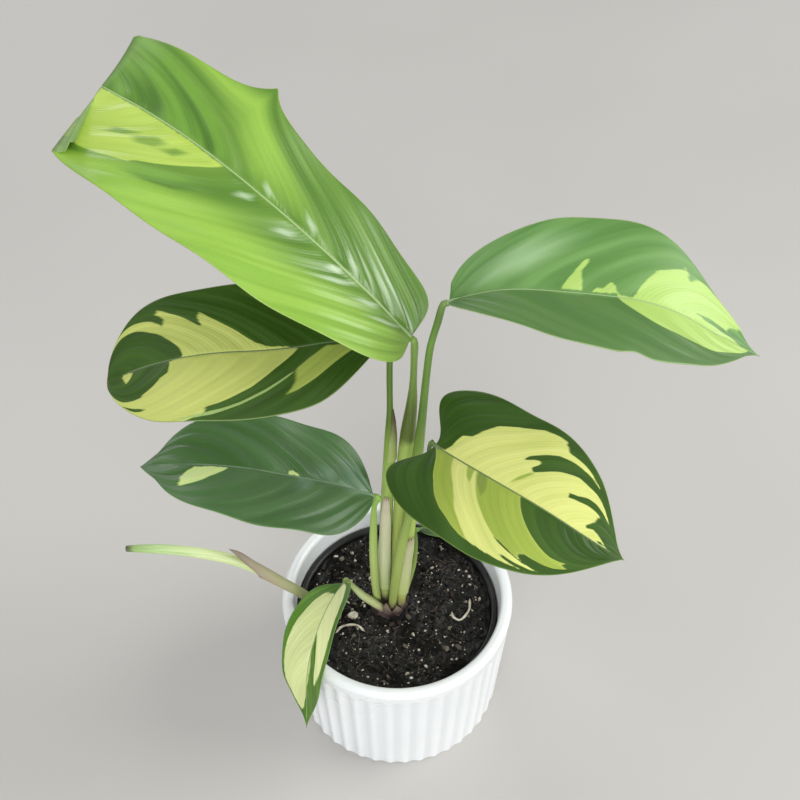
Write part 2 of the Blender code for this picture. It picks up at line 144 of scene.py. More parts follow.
def newLook(name, **sockets):
    # material whose Principled shader has the given socket values
    look = bpy.data.materials.new(name)
    look.use_nodes = True
    tree = look.node_tree
    shader = tree.nodes["Principled BSDF"]
    for socket, value in sockets.items():
        shader.inputs[socket.replace("_", " ")].default_value = value
    return look, tree, shader


def add(tree, kind, inputs=None, **settings):
    # one shader node; an input is a number, a colour or another node's output
    made = tree.nodes.new("ShaderNode" + kind)
    for key, value in settings.items():
        setattr(made, key, value)
    for key, value in (inputs or {}).items():
        if isinstance(value, bpy.types.NodeSocket):
            tree.links.new(value, made.inputs[key])
        else:
            made.inputs[key].default_value = value
    return made


def calc(tree, operation, a, b=0.0, limited=False):
    return add(tree, "Math", {0: a, 1: b}, operation=operation, use_clamp=limited).outputs[0]


def spread(tree, value, low, high, newLow=0.0, newHigh=1.0):
    # smooth change from newLow to newHigh while the value goes from low to high
    inputs = {"Value": value, "From Min": low, "From Max": high, "To Min": newLow, "To Max": newHigh}
    return add(tree, "MapRange", inputs, interpolation_type="SMOOTHSTEP").outputs[0]


def blend(tree, factor, a, b, kind="MIX"):
    a = (*a, 1.0) if isinstance(a, tuple) else a
    b = (*b, 1.0) if isinstance(b, tuple) else b
    return add(tree, "Mix", {0: factor, 6: a, 7: b}, data_type="RGBA", blend_type=kind).outputs[2]


def ramp(tree, factor, stops):
    made = add(tree, "ValToRGB", {"Fac": factor})
    entries = made.color_ramp.elements
    while len(entries) < len(stops):
        entries.new(0.5)
    for entry, (place, colour) in zip(entries, stops):
        entry.position = place
        entry.color = (*colour, 1.0)
    return made.outputs["Color"]


def attribute(tree, name, output="Fac"):
    return add(tree, "Attribute", attribute_name=name).outputs[output]


def stretched(tree, vector, scale):
    return add(tree, "Mapping", {"Vector": vector, "Scale": scale}).outputs[0]


def noise(tree, vector, scale, detail=3.0, roughness=0.5):
    inputs = {"Vector": vector, "Scale": scale, "Detail": detail, "Roughness": roughness}
    return add(tree, "TexNoise", inputs).outputs["Fac"]


def bump(tree, shader, height, strength, distance):
    made = add(tree, "Bump", {"Height": height, "Strength": strength, "Distance": distance})
    tree.links.new(made.outputs[0], shader.inputs["Normal"])


def objectPlace(tree):
    return add(tree, "TexCoord").outputs["Object"]


# leaves

stationPlaces = (0, 0.25, 0.5, 0.75, 1)

leafShapes = {
    "tall_leaf": dict(
        base=(6, 0, 308), heading=153, turn=-11, slopes=(43, 34, 24, 5, 11), length=224,
        roll=(13, -23), width=80, widest=0.46, foot=(1.56, 0.22), tip=(1.58, 0.46),
        left=(-2, -5, 1.09), right=(-3, -6, 1.0), cup=17, lobe=(1, 1), fold=(0.80, 0.012, 84), skew=6.5,
        corners=((0.35, 0.54, 0.04), (-0.03, 0.80, 0.06)), notches=((1, 0.90, 0.05, 26),),
        wave=(1.2, 4, 0.5), grid=(260, 119), rib=1.3,
        sweep=0.36, quilt=((0.62, 27, 0.4), (0.17, 9.5, 0.8))),
    "right_leaf": dict(
        base=(22.5, -5, 334.5), heading=-5, turn=2, slopes=(33, 0, -5, -35, -28), length=147,
        roll=(-10, 7), width=72, widest=0.47, foot=(1.31, 0.62), tip=(1.37, 1.38),
        left=(19, 1, 1.04), right=(6, -5, 1.0), cup=18, lobe=(1, 1), wave=(0.8, 3, 0.2),
        notches=((-1, 0.22, 0.10, 3.4), (-1, 0.53, 0.035, 2.6), (1, 0.20, 0.10, 1.5), (1, 0.48, 0.10, -1.2),
                 (1, 0.73, 0.13, 5.6), (-1, 0.95, 0.03, 0.8), (1, 0.95, 0.03, 0.8)),
        grid=(200, 107), rib=1.2, sweep=0.42, quilt=((0.26, 19, 0.6), (0.05, 7, 0.9))),
    "middle_leaf": dict(
        base=(-6, 0, 304.5), heading=188, turn=-2, slopes=(18, -6, 5, -10, -34), length=128,
        roll=(-5, -3), width=66, widest=0.47, foot=(1.42, 0.96), tip=(1.88, 0.61),
        left=(-4, -7, 1.04), right=(15, 3, 1.0), cup=5, lobe=(0, 0), wave=(0.8, 3, 2.0),
        grid=(190, 107), rib=1.2, sweep=0.42, quilt=((0.16, 14, 0.6), (0.08, 6, 0.9))),
    "lower_leaf": dict(
        base=(-12, -9, 201), heading=187, turn=-6, slopes=(40, 24, 23, 7, -9), length=121,
        roll=(-3, 11), width=63, widest=0.43, foot=(1.61, 0.70), tip=(1.77, 1.0),
        left=(0, -5, 1.05), right=(13, 1, 1.0), cup=-1, lobe=(0, 0), wave=(1.2, 3, 1.0),
        notches=((1, 0.93, 0.03, 1.3), (-1, 0.93, 0.03, 1.3)),
        grid=(185, 101), rib=1.1, sweep=0.42, quilt=((0.34, 17, 0.7), (0.05, 6, 0.9))),
    "front_leaf": dict(
        base=(17.5, -33, 271.5), heading=-47, turn=27, slopes=(13, 10, 1, -18, -23), length=102,
        roll=(10, 8), width=69, widest=0.29, foot=(1.51, 0.39), tip=(1.82, 1.29),
        left=(16, 1, 0.99), right=(-4, -7, 1.0), cup=4, lobe=(24, 22), wave=(0.7, 3, 2.6),
        grid=(200, 119), rib=1.2, sweep=0.42, quilt=((0.14, 13, 0.6), (0.08, 5, 0.9))),
    "rim_leaf": dict(
        base=(-30, -4.5, 112), heading=-116, turn=17, slopes=(29, -18, -59, -86, -67), length=108,
        roll=(20, 7), width=36, widest=0.37, foot=(1.60, 0.75), tip=(1.0, 1.32),
        left=(27, 5, 1.0), right=(12, -2, 1.0), cup=-4, lobe=(1.4, 1.4), wave=(0.5, 4, 0.0),
        grid=(165, 77), rib=1.0, sweep=0.36, quilt=((0.14, 12, 0.6), (0.08, 5, 0.9))),
    "small_leaf": dict(
        base=(12.5, 9.5, 145), heading=12, turn=-8, slopes=(22, 8, -2, -10, -18), length=62,
        roll=(-4, 0), width=30, widest=0.45, foot=(1.5, 0.7), tip=(1.5, 1.1),
        left=(10, 0, 1.0), right=(8, 0, 1.0), cup=5, lobe=(1, 1), wave=(0.4, 3, 0.0),
        grid=(90, 61), rib=0.8, sweep=0.36, quilt=((0.12, 9, 0.6), (0.06, 4, 0.9))),
}

def streaks(*places):
    # slim diamond outlines for the painted highlight strokes that lie along the veins, each from its place v, start
    # across and end across
    width = 0.0115
    return [((v, start), (v - width, 0.5 * (start + end)), (v, end), (v + width, 0.5 * (start + end)))
            for v, start, end in places]


# outlines of the pale and dark patches as (place along the veins, place across) pairs:
# across is 0 at the midrib, 1 at the left margin and -1 at the right one
leafPatches = {
    "tall_leaf": dict(
        # lime: partly the leaf's own lime green, partly painted light shining through the blade on the lower-left half
        # near the foot and in a band on the right half
        lime=[((-0.02, 0.12), (0.06, 0.30), (0.20, 0.42), (0.34, 0.46), (0.44, 0.62), (0.50, 0.80), (0.55, 1.2),
               (-0.45, 1.2), (-0.30, 0.6), (-0.10, 0.2)),
              ((0.30, -0.20), (0.38, -0.12), (0.42, -0.20), (0.41, -0.45), (0.37, -0.66), (0.33, -1.1),
               (0.22, -1.1), (0.26, -0.60))],
        # dark: partly the leaf's own darker variegation and blotches, partly painted shade on the right half towards
        # the tip, which faces away from the light
        dark=[((0.505, 0.0), (0.495, -0.16), (0.50, -0.30), (0.47, -0.40), (0.49, -0.52), (0.46, -0.60),
               (0.47, -0.78), (0.44, -0.90), (0.46, -1.1), (0.56, -1.1), (0.56, -0.75), (0.60, -0.55),
               (0.66, -0.70), (0.70, -0.40), (0.80, -0.30), (0.86, 0.0)),
              ((0.445, 0.36), (0.40, 0.44), (0.385, 0.56), (0.40, 0.66), (0.43, 0.70), (0.455, 0.62),
               (0.46, 0.48)),
              ((0.49, 0.78), (0.50, 0.92), (0.53, 0.92), (0.54, 0.80))],
        cream=[((0.495, 0.02), (0.497, 0.20), (0.487, 0.45), (0.487, 0.55), (0.475, 0.60), (0.49, 0.66),
                (0.51, 0.72), (0.60, 0.80), (0.80, 0.60), (0.90, 0.30), (0.93, 0.02))],
        # shade: painted shadows of the quilting, darker streaks inside the cream patch
        shade=[((0.575, 0.20), (0.565, 0.30), (0.575, 0.38), (0.605, 0.32), (0.60, 0.20)),
               ((0.62, 0.24), (0.61, 0.36), (0.625, 0.46), (0.645, 0.34)),
               ((0.545, 0.14), (0.535, 0.26), (0.555, 0.30), (0.56, 0.18)),
               ((0.66, 0.55), (0.64, 0.66), (0.60, 0.74), (0.62, 0.80), (0.70, 0.66))],
        # sheen: painted highlights, pale strokes of reflected light along the veins beside the midrib near the foot
        sheen=streaks((0.03, 0.04, 0.36), (0.09, 0.04, 0.30), (0.155, 0.04, 0.38), (0.195, 0.03, 0.16),
                      (0.30, 0.07, 0.26), (0.41, 0.06, 0.20), (-0.02, -0.42, -0.05), (0.01, -0.62, -0.16),
                      (0.055, -0.50, -0.06), (0.11, -0.44, -0.05), (0.16, -0.26, -0.04), (0.275, -0.25, -0.04),
                      (0.39, -0.17, -0.04))),
    "right_leaf": dict(
        cream=[((0.331, 0.03), (0.325, 0.13), (0.308, 0.27), (0.288, 0.38), (0.272, 0.46), (0.290, 0.43),
                (0.312, 0.35), (0.325, 0.28), (0.338, 0.25), (0.358, 0.19), (0.375, 0.11), (0.388, 0.04)),
               ((0.417, 0.03), (0.421, 0.08), (0.429, 0.10), (0.4375, 0.08), (0.442, 0.10), (0.442, 0.18),
                (0.454, 0.165), (0.467, 0.135), (0.479, 0.10), (0.492, 0.04)),
               ((0.535, -0.05), (0.54, 0.08), (0.529, 0.17), (0.517, 0.25), (0.50, 0.35), (0.49, 0.42),
                (0.478, 0.43), (0.482, 0.50), (0.47, 0.60), (0.454, 0.67), (0.435, 0.70), (0.48, 0.64),
                (0.50, 0.595), (0.538, 0.54), (0.505, 0.64), (0.48, 0.74), (0.455, 0.83), (0.435, 0.92),
                (0.41, 1.05), (0.52, 1.05), (0.56, 0.90), (0.61, 0.79), (0.67, 0.68), (0.735, 0.50),
                (0.797, 0.30), (0.87, 0.12), (0.96, 0.0), (0.96, -0.05)),
               ((0.495, 0.02), (0.497, -0.12), (0.50, -0.25), (0.503, -0.35), (0.515, -0.42), (0.54, -0.50),
                (0.58, -0.56), (0.62, -0.60), (0.68, -0.60), (0.74, -0.57), (0.80, -0.48), (0.87, -0.33),
                (0.92, -0.18), (0.955, -0.04), (0.96, 0.02))],
        creamHoles=[((0.722, 0.14), (0.75, 0.20), (0.79, 0.25), (0.86, 0.30), (0.97, 0.30), (0.97, 0.10),
                     (0.88, 0.13), (0.80, 0.15), (0.76, 0.115))],
        # dark: painted shade over the whole right half, which faces away from the light
        dark=[((-0.50, -1.3), (-0.35, -0.72), (-0.12, -0.34), (0.02, -0.06), (0.60, -0.04), (1.0, -0.04),
               (1.0, -1.3))],
        # sheen: painted reflection, a paler zone on the left half near the foot
        sheen=[((0.05, 0.22), (0.02, 0.40), (-0.02, 0.60), (-0.02, 0.74), (0.10, 0.70), (0.16, 0.50),
                (0.16, 0.30))]),
    "middle_leaf": dict(
        cream=[((0.30, 0.03), (0.312, 0.15), (0.318, 0.30), (0.31, 0.45), (0.30, 0.55), (0.305, 0.70),
                (0.32, 0.77), (0.335, 0.80), (0.32, 0.835), (0.30, 0.85), (0.285, 0.90), (0.30, 1.1),
                (0.58, 1.1), (0.60, 0.95), (0.63, 0.82), (0.65, 0.72), (0.665, 0.62), (0.69, 0.53),
                (0.70, 0.45), (0.715, 0.36), (0.725, 0.28), (0.72, 0.20), (0.735, 0.12), (0.75, 0.03),
                (0.70, -0.02), (0.40, -0.02)),
               ((0.855, 0.28), (0.88, 0.22), (0.92, 0.10), (0.925, 0.02), (0.90, 0.02), (0.88, 0.06),
                (0.87, 0.15)),
               ((0.33, 0.0), (0.34, -0.025), (0.40, -0.05), (0.433, -0.13), (0.442, -0.23), (0.444, -0.42),
                (0.433, -0.54), (0.415, -0.65), (0.467, -0.56), (0.50, -0.46), (0.515, -0.44),
                (0.50, -0.54), (0.4875, -0.635), (0.475, -0.73), (0.45, -0.84), (0.492, -0.77),
                (0.533, -0.65), (0.592, -0.55), (0.575, -0.60), (0.55, -0.71), (0.533, -0.81),
                (0.517, -0.92), (0.50, -1.05), (0.54, -1.05), (0.583, -0.81), (0.617, -0.65),
                (0.642, -0.52), (0.667, -0.35), (0.683, -0.19), (0.70, -0.03), (0.72, 0.03))],
        creamHoles=[((0.52, 0.93), (0.53, 0.87), (0.545, 0.80), (0.56, 0.83), (0.565, 0.90), (0.545, 0.97))],
        olive=[((0.05, 0.30), (0.0625, 0.54), (0.08, 0.69), (0.096, 0.74), (0.125, 0.635), (0.158, 0.54),
                (0.18, 0.48), (0.208, 0.415), (0.225, 0.35), (0.22, 0.23), (0.20, 0.08), (0.10, 0.08))],
        # pale: a thin pale line along the veins, painted as a highlight
        pale=[((0.218, 0.40), (0.210, 0.65), (0.216, 0.79), (0.240, 0.885), (0.285, 0.95), (0.36, 1.0),
               (0.303, 0.89), (0.261, 0.83), (0.237, 0.75), (0.231, 0.62), (0.230, 0.42))]),
    "lower_leaf": dict(
        cream=[((0.645, 0.04), (0.655, 0.15), (0.66, 0.28), (0.65, 0.42), (0.635, 0.55), (0.61, 0.67),
                (0.66, 0.56), (0.70, 0.46), (0.735, 0.37), (0.762, 0.27), (0.777, 0.17), (0.775, 0.06)),
               ((0.35, -0.02), (0.352, -0.06), (0.367, -0.11), (0.385, -0.08), (0.397, -0.02))],
        # sheen: painted reflection, bluish pale zones near the foot and beside the midrib
        sheen=[((-0.05, 0.0), (-0.10, -0.35), (-0.14, -0.62), (0.02, -0.48), (0.12, -0.22), (0.16, -0.05),
                (0.10, 0.10), (0.0, 0.12)),
               ((0.20, -0.04), (0.16, -0.22), (0.20, -0.25), (0.26, -0.05)),
               ((0.30, 0.03), (0.29, 0.20), (0.32, 0.20), (0.34, 0.03))]),
    "front_leaf": dict(
        cream=[((0.06, 0.0), (0.058, 0.15), (0.045, 0.25), (0.04, 0.33), (0.07, 0.37), (0.06, 0.46),
                (0.042, 0.57), (0.025, 0.65), (0.03, 0.76), (0.05, 0.83), (0.08, 0.89), (0.125, 0.915),
                (0.17, 0.92), (0.22, 0.86), (0.255, 0.83), (0.30, 0.87), (0.36, 0.89), (0.41, 0.875),
                (0.37, 0.83), (0.33, 0.79), (0.31, 0.76), (0.29, 0.71), (0.285, 0.62), (0.28, 0.50),
                (0.29, 0.46), (0.305, 0.42), (0.315, 0.49), (0.333, 0.52), (0.355, 0.47), (0.367, 0.385),
                (0.40, 0.34), (0.408, 0.42), (0.41, 0.55), (0.425, 0.67), (0.467, 0.73), (0.50, 0.80),
                (0.56, 0.79), (0.60, 0.745), (0.58, 0.70), (0.555, 0.66), (0.55, 0.58), (0.56, 0.47),
                (0.545, 0.41), (0.58, 0.35), (0.60, 0.42), (0.617, 0.52), (0.633, 0.58), (0.667, 0.50),
                (0.70, 0.42), (0.73, 0.31), (0.75, 0.20), (0.77, 0.15), (0.775, 0.24), (0.80, 0.25),
                (0.84, 0.18), (0.87, 0.12), (0.90, 0.06), (0.92, 0.0)),
               ((0.0, 0.02), (0.018, -0.15), (0.028, -0.30), (0.033, -0.45), (0.018, -0.57),
                (0.012, -0.69), (0.025, -0.79), (0.05, -0.83), (0.10, -0.85), (0.167, -0.885),
                (0.24, -0.925), (0.285, -0.96), (0.25, -0.885), (0.235, -0.84), (0.258, -0.83),
                (0.292, -0.885), (0.34, -0.94), (0.335, -0.87), (0.33, -0.83), (0.345, -0.76),
                (0.365, -0.73), (0.39, -0.70), (0.41, -0.76), (0.43, -0.83), (0.46, -0.89), (0.48, -0.82),
                (0.50, -0.76), (0.53, -0.74), (0.51, -0.65), (0.508, -0.45), (0.502, -0.27),
                (0.496, -0.10), (0.49, 0.02))],
        creamHoles=[((0.845, 0.07), (0.86, 0.11), (0.89, 0.07), (0.87, 0.03)),
                    ((0.275, -0.64), (0.295, -0.66), (0.32, -0.74), (0.34, -0.85), (0.325, -0.86),
                     (0.31, -0.77), (0.29, -0.70))],
        inner=[((0.0, 0.0), (0.12, 0.0), (0.125, -0.15), (0.14, -0.33), (0.13, -0.47), (0.10, -0.60),
                (0.09, -0.75), (0.085, -0.9), (0.0, -0.9)),
               ((0.205, 0.0), (0.215, -0.14), (0.23, -0.20), (0.24, -0.14), (0.25, 0.0)),
               ((0.262, 0.0), (0.265, -0.15), (0.262, -0.35), (0.27, -0.5), (0.285, -0.65),
                (0.34, -0.80), (0.46, -0.95), (0.56, -0.80), (0.54, -0.5), (0.53, -0.25), (0.515, 0.0)),
               ((0.395, 0.33), (0.40, 0.20), (0.41, 0.10), (0.418, 0.20), (0.41, 0.33))],
        shade=[((0.27, 0.0), (0.275, -0.15), (0.288, -0.28), (0.32, -0.18), (0.325, -0.10), (0.318, 0.0))]),
    "rim_leaf": dict(
        # pale: the leaf's own cream on the left half, painted lighter than the other cream as painted light, since that
        # half tilts down and gets less light
        pale=[((0.03, 0.0), (-0.05, 0.35), (-0.12, 0.66), (-0.02, 0.80), (0.12, 0.82), (0.22, 0.80),
               (0.33, 0.70), (0.44, 0.56), (0.38, 0.36), (0.35, 0.14), (0.33, 0.0))],
        cream=[((0.12, 0.02), (0.08, -0.20), (0.02, -0.42), (0.03, -0.58), (0.05, -0.62), (0.07, -0.74),
                (0.128, -0.83), (0.18, -0.90), (0.32, -0.925), (0.49, -0.89), (0.62, -0.76), (0.73, -0.52),
                (0.79, -0.26), (0.75, -0.06), (0.68, 0.03), (0.60, 0.12), (0.50, 0.15), (0.43, 0.03))]),
    "small_leaf": dict(
        cream=[((0.0, -0.2), (0.15, -0.5), (0.32, -0.72), (0.30, -0.45), (0.14, -0.12))]),
}

# green: darkest, middle and lightest; each patch: its colour, its darker colour where the tone is low (random mottling,
# and painted shade in the quilting hollows), the softness of its edge in millimetres and its share; rib: colours at the
# foot and the tip, half width in millimetres
leafColours = {
    "tall_leaf": dict(
        green=((0.085, 0.20, 0.016), (0.108, 0.24, 0.022), (0.145, 0.29, 0.032)),
        # lime: partly the leaf's own colour, partly painted light
        lime=((0.30, 0.52, 0.062), (0.25, 0.46, 0.052), 11.0, 1.0),
        # dark: partly the leaf's own colour, partly painted shade
        dark=((0.15, 0.33, 0.030), (0.060, 0.16, 0.012), 2.4, 0.85),
        cream=((0.47, 0.63, 0.100), (0.39, 0.55, 0.080), 0.6, 1.0),
        # shade: painted shadow colour of the quilting inside the cream patch
        shade=((0.18, 0.32, 0.03), (0.12, 0.25, 0.02), 1.4, 0.85),
        # painted shade: dark green on the blade just past the fold, where it turns down
        paintedFoldShade=((0.10, 0.23, 0.02), (0.08, 0.19, 0.015), 1.0, 0.9),
        # sheen: painted highlight colour of those strokes
        sheen=((0.62, 0.76, 0.54), (0.56, 0.72, 0.46), 1.7, 0.62),
        rib=((0.58, 0.74, 0.34), (0.16, 0.30, 0.06), 0.85),
        rim=(0.36, 0.52, 0.10), under=(0.33, 0.47, 0.20), roughness=0.30, shine=0.6, jag=0.9),
    "right_leaf": dict(
        green=((0.085, 0.22, 0.042), (0.12, 0.27, 0.060), (0.16, 0.33, 0.085)),
        # dark: painted shade colour of the right half
        dark=((0.095, 0.205, 0.048), (0.078, 0.18, 0.040), 0.8, 1.0),
        cream=((0.46, 0.66, 0.165), (0.42, 0.62, 0.14), 0.45, 1.0),
        # sheen: painted reflection colour; rib: the midrib's own colours
        sheen=((0.34, 0.52, 0.26), (0.30, 0.47, 0.22), 7.0, 0.8), rib=((0.36, 0.52, 0.22), (0.28, 0.42, 0.14), 0.5),
        rim=(0.38, 0.52, 0.20), under=(0.36, 0.46, 0.27), roughness=0.38, shine=0.5, jag=0.8),
    "middle_leaf": dict(
        green=((0.030, 0.074, 0.005), (0.037, 0.092, 0.007), (0.048, 0.112, 0.010)),
        olive=((0.38, 0.46, 0.09), (0.34, 0.42, 0.08), 0.7, 1.0),
        cream=((0.56, 0.61, 0.16), (0.50, 0.56, 0.14), 0.45, 1.0),
        # pale: painted highlight colour of that line
        pale=((0.36, 0.50, 0.16), (0.32, 0.46, 0.14), 0.4, 0.9), rib=((0.12, 0.19, 0.015), (0.07, 0.12, 0.008), 0.42),
        rim=(0.22, 0.32, 0.08), under=(0.20, 0.27, 0.15), roughness=0.42, shine=0.35, jag=0.8),
    "lower_leaf": dict(
        green=((0.060, 0.140, 0.040), (0.071, 0.162, 0.049), (0.082, 0.182, 0.058)),
        cream=((0.70, 0.84, 0.32), (0.63, 0.78, 0.27), 0.45, 1.0),
        # sheen: painted reflection colour
        sheen=((0.30, 0.44, 0.34), (0.20, 0.33, 0.23), 4.5, 0.55),
        rib=((0.36, 0.52, 0.32), (0.06, 0.14, 0.04), 0.5), rim=(0.14, 0.28, 0.06),
        under=(0.22, 0.30, 0.20), roughness=0.30, shine=0.5, jag=0.8),
    "front_leaf": dict(
        green=((0.026, 0.074, 0.003), (0.033, 0.090, 0.004), (0.045, 0.112, 0.007)),
        cream=((0.72, 0.75, 0.23), (0.64, 0.69, 0.19), 0.4, 1.0),
        inner=((0.36, 0.46, 0.065), (0.32, 0.42, 0.055), 0.6, 1.0),
        shade=((0.24, 0.32, 0.05), (0.22, 0.30, 0.045), 0.5, 1.0), rib=((0.12, 0.17, 0.010), (0.10, 0.15, 0.010), 0.40),
        rim=(0.20, 0.32, 0.06), under=(0.20, 0.27, 0.14), roughness=0.42, shine=0.35, jag=0.7),
    "rim_leaf": dict(
        green=((0.046, 0.135, 0.002), (0.075, 0.20, 0.005), (0.12, 0.27, 0.014)),
        cream=((0.66, 0.72, 0.33), (0.60, 0.66, 0.29), 0.4, 1.0),
        # pale: the cream made lighter, painted light
        pale=((0.86, 0.92, 0.46), (0.80, 0.87, 0.42), 0.4, 1.0),
        rib=((0.40, 0.50, 0.20), (0.16, 0.26, 0.05), 0.4),
        rim=(0.12, 0.24, 0.04), under=(0.28, 0.36, 0.20), roughness=0.40, shine=0.45, jag=0.6),
    "small_leaf": dict(
        green=((0.020, 0.060, 0.008), (0.030, 0.082, 0.012), (0.045, 0.11, 0.02)),
        cream=((0.42, 0.50, 0.15), (0.36, 0.44, 0.12), 0.4, 1.0), rib=((0.16, 0.24, 0.08), (0.10, 0.18, 0.04), 0.4),
        rim=(0.16, 0.26, 0.08), under=(0.20, 0.28, 0.16), roughness=0.40, shine=0.4, jag=0.6),
}
patchOrder = ("lime", "dark", "olive", "cream", "inner", "shade", "pale", "sheen", "paintedFoldShade")


def halfWidth(s, leaf):
    # half the blade's width at s, 0 at the foot and 1 at the tip: a cosine to a power each side,
    # never under a millimetre at the foot, and drawn out to a fine point at the tip
    wide = leaf["widest"]
    towardFoot = s < wide
    t = np.clip(np.where(towardFoot, (wide - s) / wide, (s - wide) / (1 - wide)), 0, 1)
    bend = np.where(towardFoot, leaf["foot"][0], leaf["tip"][0])
    power = np.where(towardFoot, leaf["foot"][1], leaf["tip"][1])
    half = 0.5 * leaf["width"] * np.maximum(np.cos(0.5 * np.pi * t ** bend), 0) ** power
    return np.maximum(half, 0.15 + 0.95 * np.exp(-s / 0.012))


def midrib(leaf, s):
    # points along the midrib with its forward, left and up directions: the slope is read between the
    # stations, the heading turns with s to the power 1.5, and the roll changes evenly
    slope = np.interp(s, stationPlaces, leaf["slopes"])
    if "fold" in leaf:
        start, length, drop = leaf["fold"]
        slope = slope - drop * np.clip((s - start) / length, 0, 1)
    heading = leaf["heading"] + leaf["turn"] * s ** 1.5
    e, a = np.radians(slope), np.radians(heading)
    forward = np.column_stack([np.cos(e) * np.cos(a), np.cos(e) * np.sin(a), np.sin(e)])
    steps = 0.5 * (forward[1:] + forward[:-1]) * (np.diff(s) * leaf["length"])[:, None]
    route = np.vstack([np.zeros(3), np.cumsum(steps, axis=0)]) + leaf["base"]
    flat = np.column_stack([-np.sin(a), np.cos(a), np.zeros_like(a)])
    upright = np.cross(forward, flat)
    r = np.radians(leaf["roll"][0] + (leaf["roll"][1] - leaf["roll"][0]) * s)[:, None]
    left = flat * np.cos(r) + upright * np.sin(r)
    up = upright * np.cos(r) - flat * np.sin(r)
    return route, forward, left, up


def rowPlaces(leaf, count):
    # rows evenly spaced along the margin, so the round base and the fine tip get as many as the middle
    s = 0.5 - 0.5 * np.cos(np.linspace(0, np.pi, 6001))
    run = np.concatenate([[0], np.cumsum(np.hypot(np.diff(s) * leaf["length"], np.diff(halfWidth(s, leaf))))])
    return np.interp(np.linspace(0, run[-1], count), run, s)


def quilting(leaf, s, across, half):
    # height of the swellings between the side veins: cosines along the vein coordinate s - sweep * u^1.5,
    # each fading towards the midrib, the margin and the ends
    v = s[:, None] - leaf["sweep"] * np.abs(across[None, :]) ** 1.5
    edge = np.abs(across)[None, :]
    ends = np.clip(s / 0.04, 0, 1) * np.clip((1 - s) / 0.12, 0, 1)
    if "fold" in leaf:
        ends = ends * (1 - smoothStep(leaf["fold"][0] - 0.10, leaf["fold"][0], s))
    height = 0
    for size, spacing, outerShare in leaf["quilt"]:
        fade = smoothStep(0.0, 0.10, edge) * (1 - (1 - outerShare) * edge) * (1 - smoothStep(0.75, 1.0, edge))
        phase = 0.9 * np.sign(across)[None, :]
        height = height + size * fade * np.cos(math.tau * v * leaf["length"] / spacing + phase)
    return height * ends[:, None] * np.clip(half / 10, 0, 1)[:, None]


def bladeSurface(leaf, s, across):
    # middle surface of the blade, rows along s and columns across: each column rises from the midrib at
    # the angle lift + curl * u + cup * exp(-s / 0.15), summed outwards, plus the wave and the quilting
    fine = np.linspace(0, 1, 961)
    route, forward, left, up = (np.column_stack([np.interp(s, fine, part[:, k]) for k in range(3)])
                                for part in midrib(leaf, fine))
    half = halfWidth(s, leaf)
    flatten = np.minimum(1.0, half / 8.0)
    onLeft = across > 0
    lift, curl, share = (np.where(onLeft, leaf["left"][k], leaf["right"][k]) for k in range(3))
    v = np.linspace(0, 1, 9)[:, None] * np.abs(across)[None, :]
    rise = (lift + curl * v)[None] + leaf["cup"] * np.exp(-s / 0.15)[:, None, None]
    rise = np.radians(rise * flatten[:, None, None])
    out = np.trapz(np.cos(rise), v[None], axis=1)
    high = np.trapz(np.sin(rise), v[None], axis=1)
    reach = half[:, None] * share[None, :]
    for side, at, spreadOut, size in leaf.get("notches", ()):
        shift = size * np.exp(-((s - at) / spreadOut) ** 2)[:, None] * (across ** 4)[None, :]
        reach = reach - np.where(np.sign(across) == side, shift, 0)
    for size, at, spreadOut in leaf.get("corners", ()):
        widened = 1 + size * np.exp(-np.abs(s - at) / spreadOut)[:, None] * across[None, :] ** 2
        reach = reach * np.where(onLeft[None, :], 1, widened)
    size, count, phase = leaf["wave"]
    ripple = size * (across ** 2)[None, :] * flatten[:, None] * np.sin(
        math.tau * (count * s[:, None] + phase) + np.sign(across)[None, :])
    ripple = ripple + quilting(leaf, s, across, half)
    lobe = np.where(onLeft, leaf["lobe"][0], leaf["lobe"][1])
    sideways = smoothStep(2.0, 28.0, np.abs(across)[None, :] * half[:, None])
    back = lobe[None, :] * sideways * (np.clip(1 - s / 0.35, 0, 1) ** 2)[:, None]
    sign = np.sign(across)[None, :, None]
    points = (route[:, None] + sign * (reach * out)[..., None] * left[:, None]
              + (reach * high + ripple)[..., None] * up[:, None] - back[..., None] * forward[:, None])
    if "fold" in leaf:
        # the fold runs slanting: its right end lies further out along the blade
        foldAt = leaf["fold"][0]
        ahead = leaf["skew"] * smoothStep(foldAt - 0.28, foldAt, s)[:, None] * np.where(onLeft, 0, across ** 2)
        points = points + ahead[..., None] * forward[np.searchsorted(s, foldAt) - 1]
    return points


def patchField(v, across, outlines, leaf):
    # distance in millimetres to the nearest outline, positive inside one and negative outside them all
    scale = np.array((leaf["length"], 0.5 * leaf["width"]))
    x, y = v * scale[0], across * scale[1]
    field = np.full(x.shape, -60.0)
    for outline in outlines:
        corners = np.array(outline) * scale
        nearest = np.full(x.shape, 1e6)
        inside = np.zeros(x.shape, bool)
        for (ax, ay), (bx, by) in zip(corners, np.roll(corners, -1, axis=0)):
            dx, dy = bx - ax, by - ay
            t = np.clip(((x - ax) * dx + (y - ay) * dy) / (dx * dx + dy * dy), 0, 1)
            nearest = np.minimum(nearest, np.hypot(x - ax - t * dx, y - ay - t * dy))
            if ay != by:
                inside ^= ((ay > y) != (by > y)) & (x < dx * (y - ay) / dy + ax)
        field = np.maximum(field, np.where(inside, nearest, -nearest))
    return field


